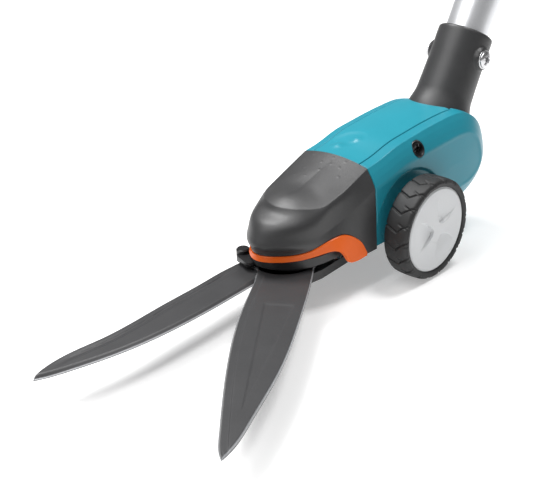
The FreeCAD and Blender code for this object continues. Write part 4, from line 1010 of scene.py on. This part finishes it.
# ---- CAD nodes that stay visible ----
CAD_FINISHES = {
    "black_plastic": ("base_plate", "swivel_bush", "swivel_frame", "glide_shoe"),
    "bright_steel": ("bellcrank_pin", "socket_nut", "axle", "axle_clips", "trigger_pin", "trigger_spring",
                     "swivel_clip", "blade_rivets", "pivot_bolt", "spring_washer", "pivot_nut", "drive_stud",
                     "drive_slider", "bellcrank", "push_rod", "rod_pins"),
    "orange_plastic": ("trigger", "lock_slide"),
    "tube_aluminium": ("tube",),
}


def finish_cad_nodes():
    for slot, nodes in CAD_FINISHES.items():
        for node in nodes:
            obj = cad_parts[node]
            if not obj.material_slots:
                obj.data.materials.append(FINISHES[slot])
            for place in obj.material_slots:
                place.material = FINISHES[slot]


# ---- stage ----
LIT_POINT = Vector((0, -0.02, 0.05))
LIGHTS = [               # name, place in metres, size, watts
    ("key", (-0.52, -0.06, 1.05), 0.42, 11.0),
    ("top", (0.20, 0.30, 1.25), 0.34, 8.0),
    ("wide", (-0.25, -0.85, 1.30), 1.1, 14.0),
]


def stage():
    bpy.ops.mesh.primitive_plane_add(size=8.0, location=(0, 0, -0.0005))
    floor = bpy.context.object
    floor.name = "floor"
    paint = bpy.data.materials.new("floor_paint")
    paint.use_nodes = True
    shader = paint.node_tree.nodes["Principled BSDF"]
    shader.inputs["Base Color"].default_value = (0.80, 0.80, 0.80, 1)
    shader.inputs["Roughness"].default_value = 0.9
    shader.inputs["Emission Color"].default_value = (1, 1, 1, 1)
    shader.inputs["Emission Strength"].default_value = 0.34
    floor.data.materials.append(paint)
    world = bpy.data.worlds.new("studio")
    bpy.context.scene.world = world
    world.use_nodes = True
    world.node_tree.nodes["Background"].inputs["Color"].default_value = (1, 1, 1, 1)
    world.node_tree.nodes["Background"].inputs["Strength"].default_value = 0.20
    for name, place, size, watts in LIGHTS:
        light = bpy.data.lights.new(name, "AREA")
        light.size = size
        light.energy = watts
        lamp = bpy.data.objects.new(name, light)
        lamp.location = place
        lamp.rotation_mode = "QUATERNION"
        lamp.rotation_quaternion = (LIT_POINT - Vector(place)).to_track_quat("-Z", "Y")
        bpy.context.scene.collection.objects.link(lamp)


CAMERA_PLACE = (342.7, -419.4, 237.3)       # mm from the axle's middle, solved from the photograph
CAMERA_TURN, CAMERA_DIP, CAMERA_ROLL = 45.49, 25.51, -2.44
IMAGE_WIDTH = 533
FOCAL_PIXELS = 1050.0
SENSOR = 36.0


def camera():
    turn, dip, roll = (math.radians(v) for v in (CAMERA_TURN, CAMERA_DIP, CAMERA_ROLL))
    right = Vector((math.cos(turn), math.sin(turn), 0))
    ahead = Vector((-math.sin(turn) * math.cos(dip), math.cos(turn) * math.cos(dip), -math.sin(dip)))
    up = right.cross(ahead)
    right, up = (right * math.cos(roll) + up * math.sin(roll), up * math.cos(roll) - right * math.sin(roll))
    data = bpy.data.cameras.new("camera")
    data.sensor_width = SENSOR
    data.lens = FOCAL_PIXELS / IMAGE_WIDTH * SENSOR
    data.clip_start = 0.01
    cam = bpy.data.objects.new("camera", data)
    turned_matrix = Matrix((right, up, -ahead)).transposed().to_4x4()
    turned_matrix.translation = Vector(np.array(CAMERA_PLACE) * MM + AXLE)
    cam.matrix_world = turned_matrix
    bpy.context.scene.collection.objects.link(cam)
    bpy.context.scene.camera = cam


camera()
stage()
body_pieces()
head_pieces()
blade_pieces()
carrier_pieces()
handle_pieces()
wheel_pieces()
fastening_pieces()
finish_cad_nodes()
bpy.context.scene.view_settings.view_transform = "Standard"
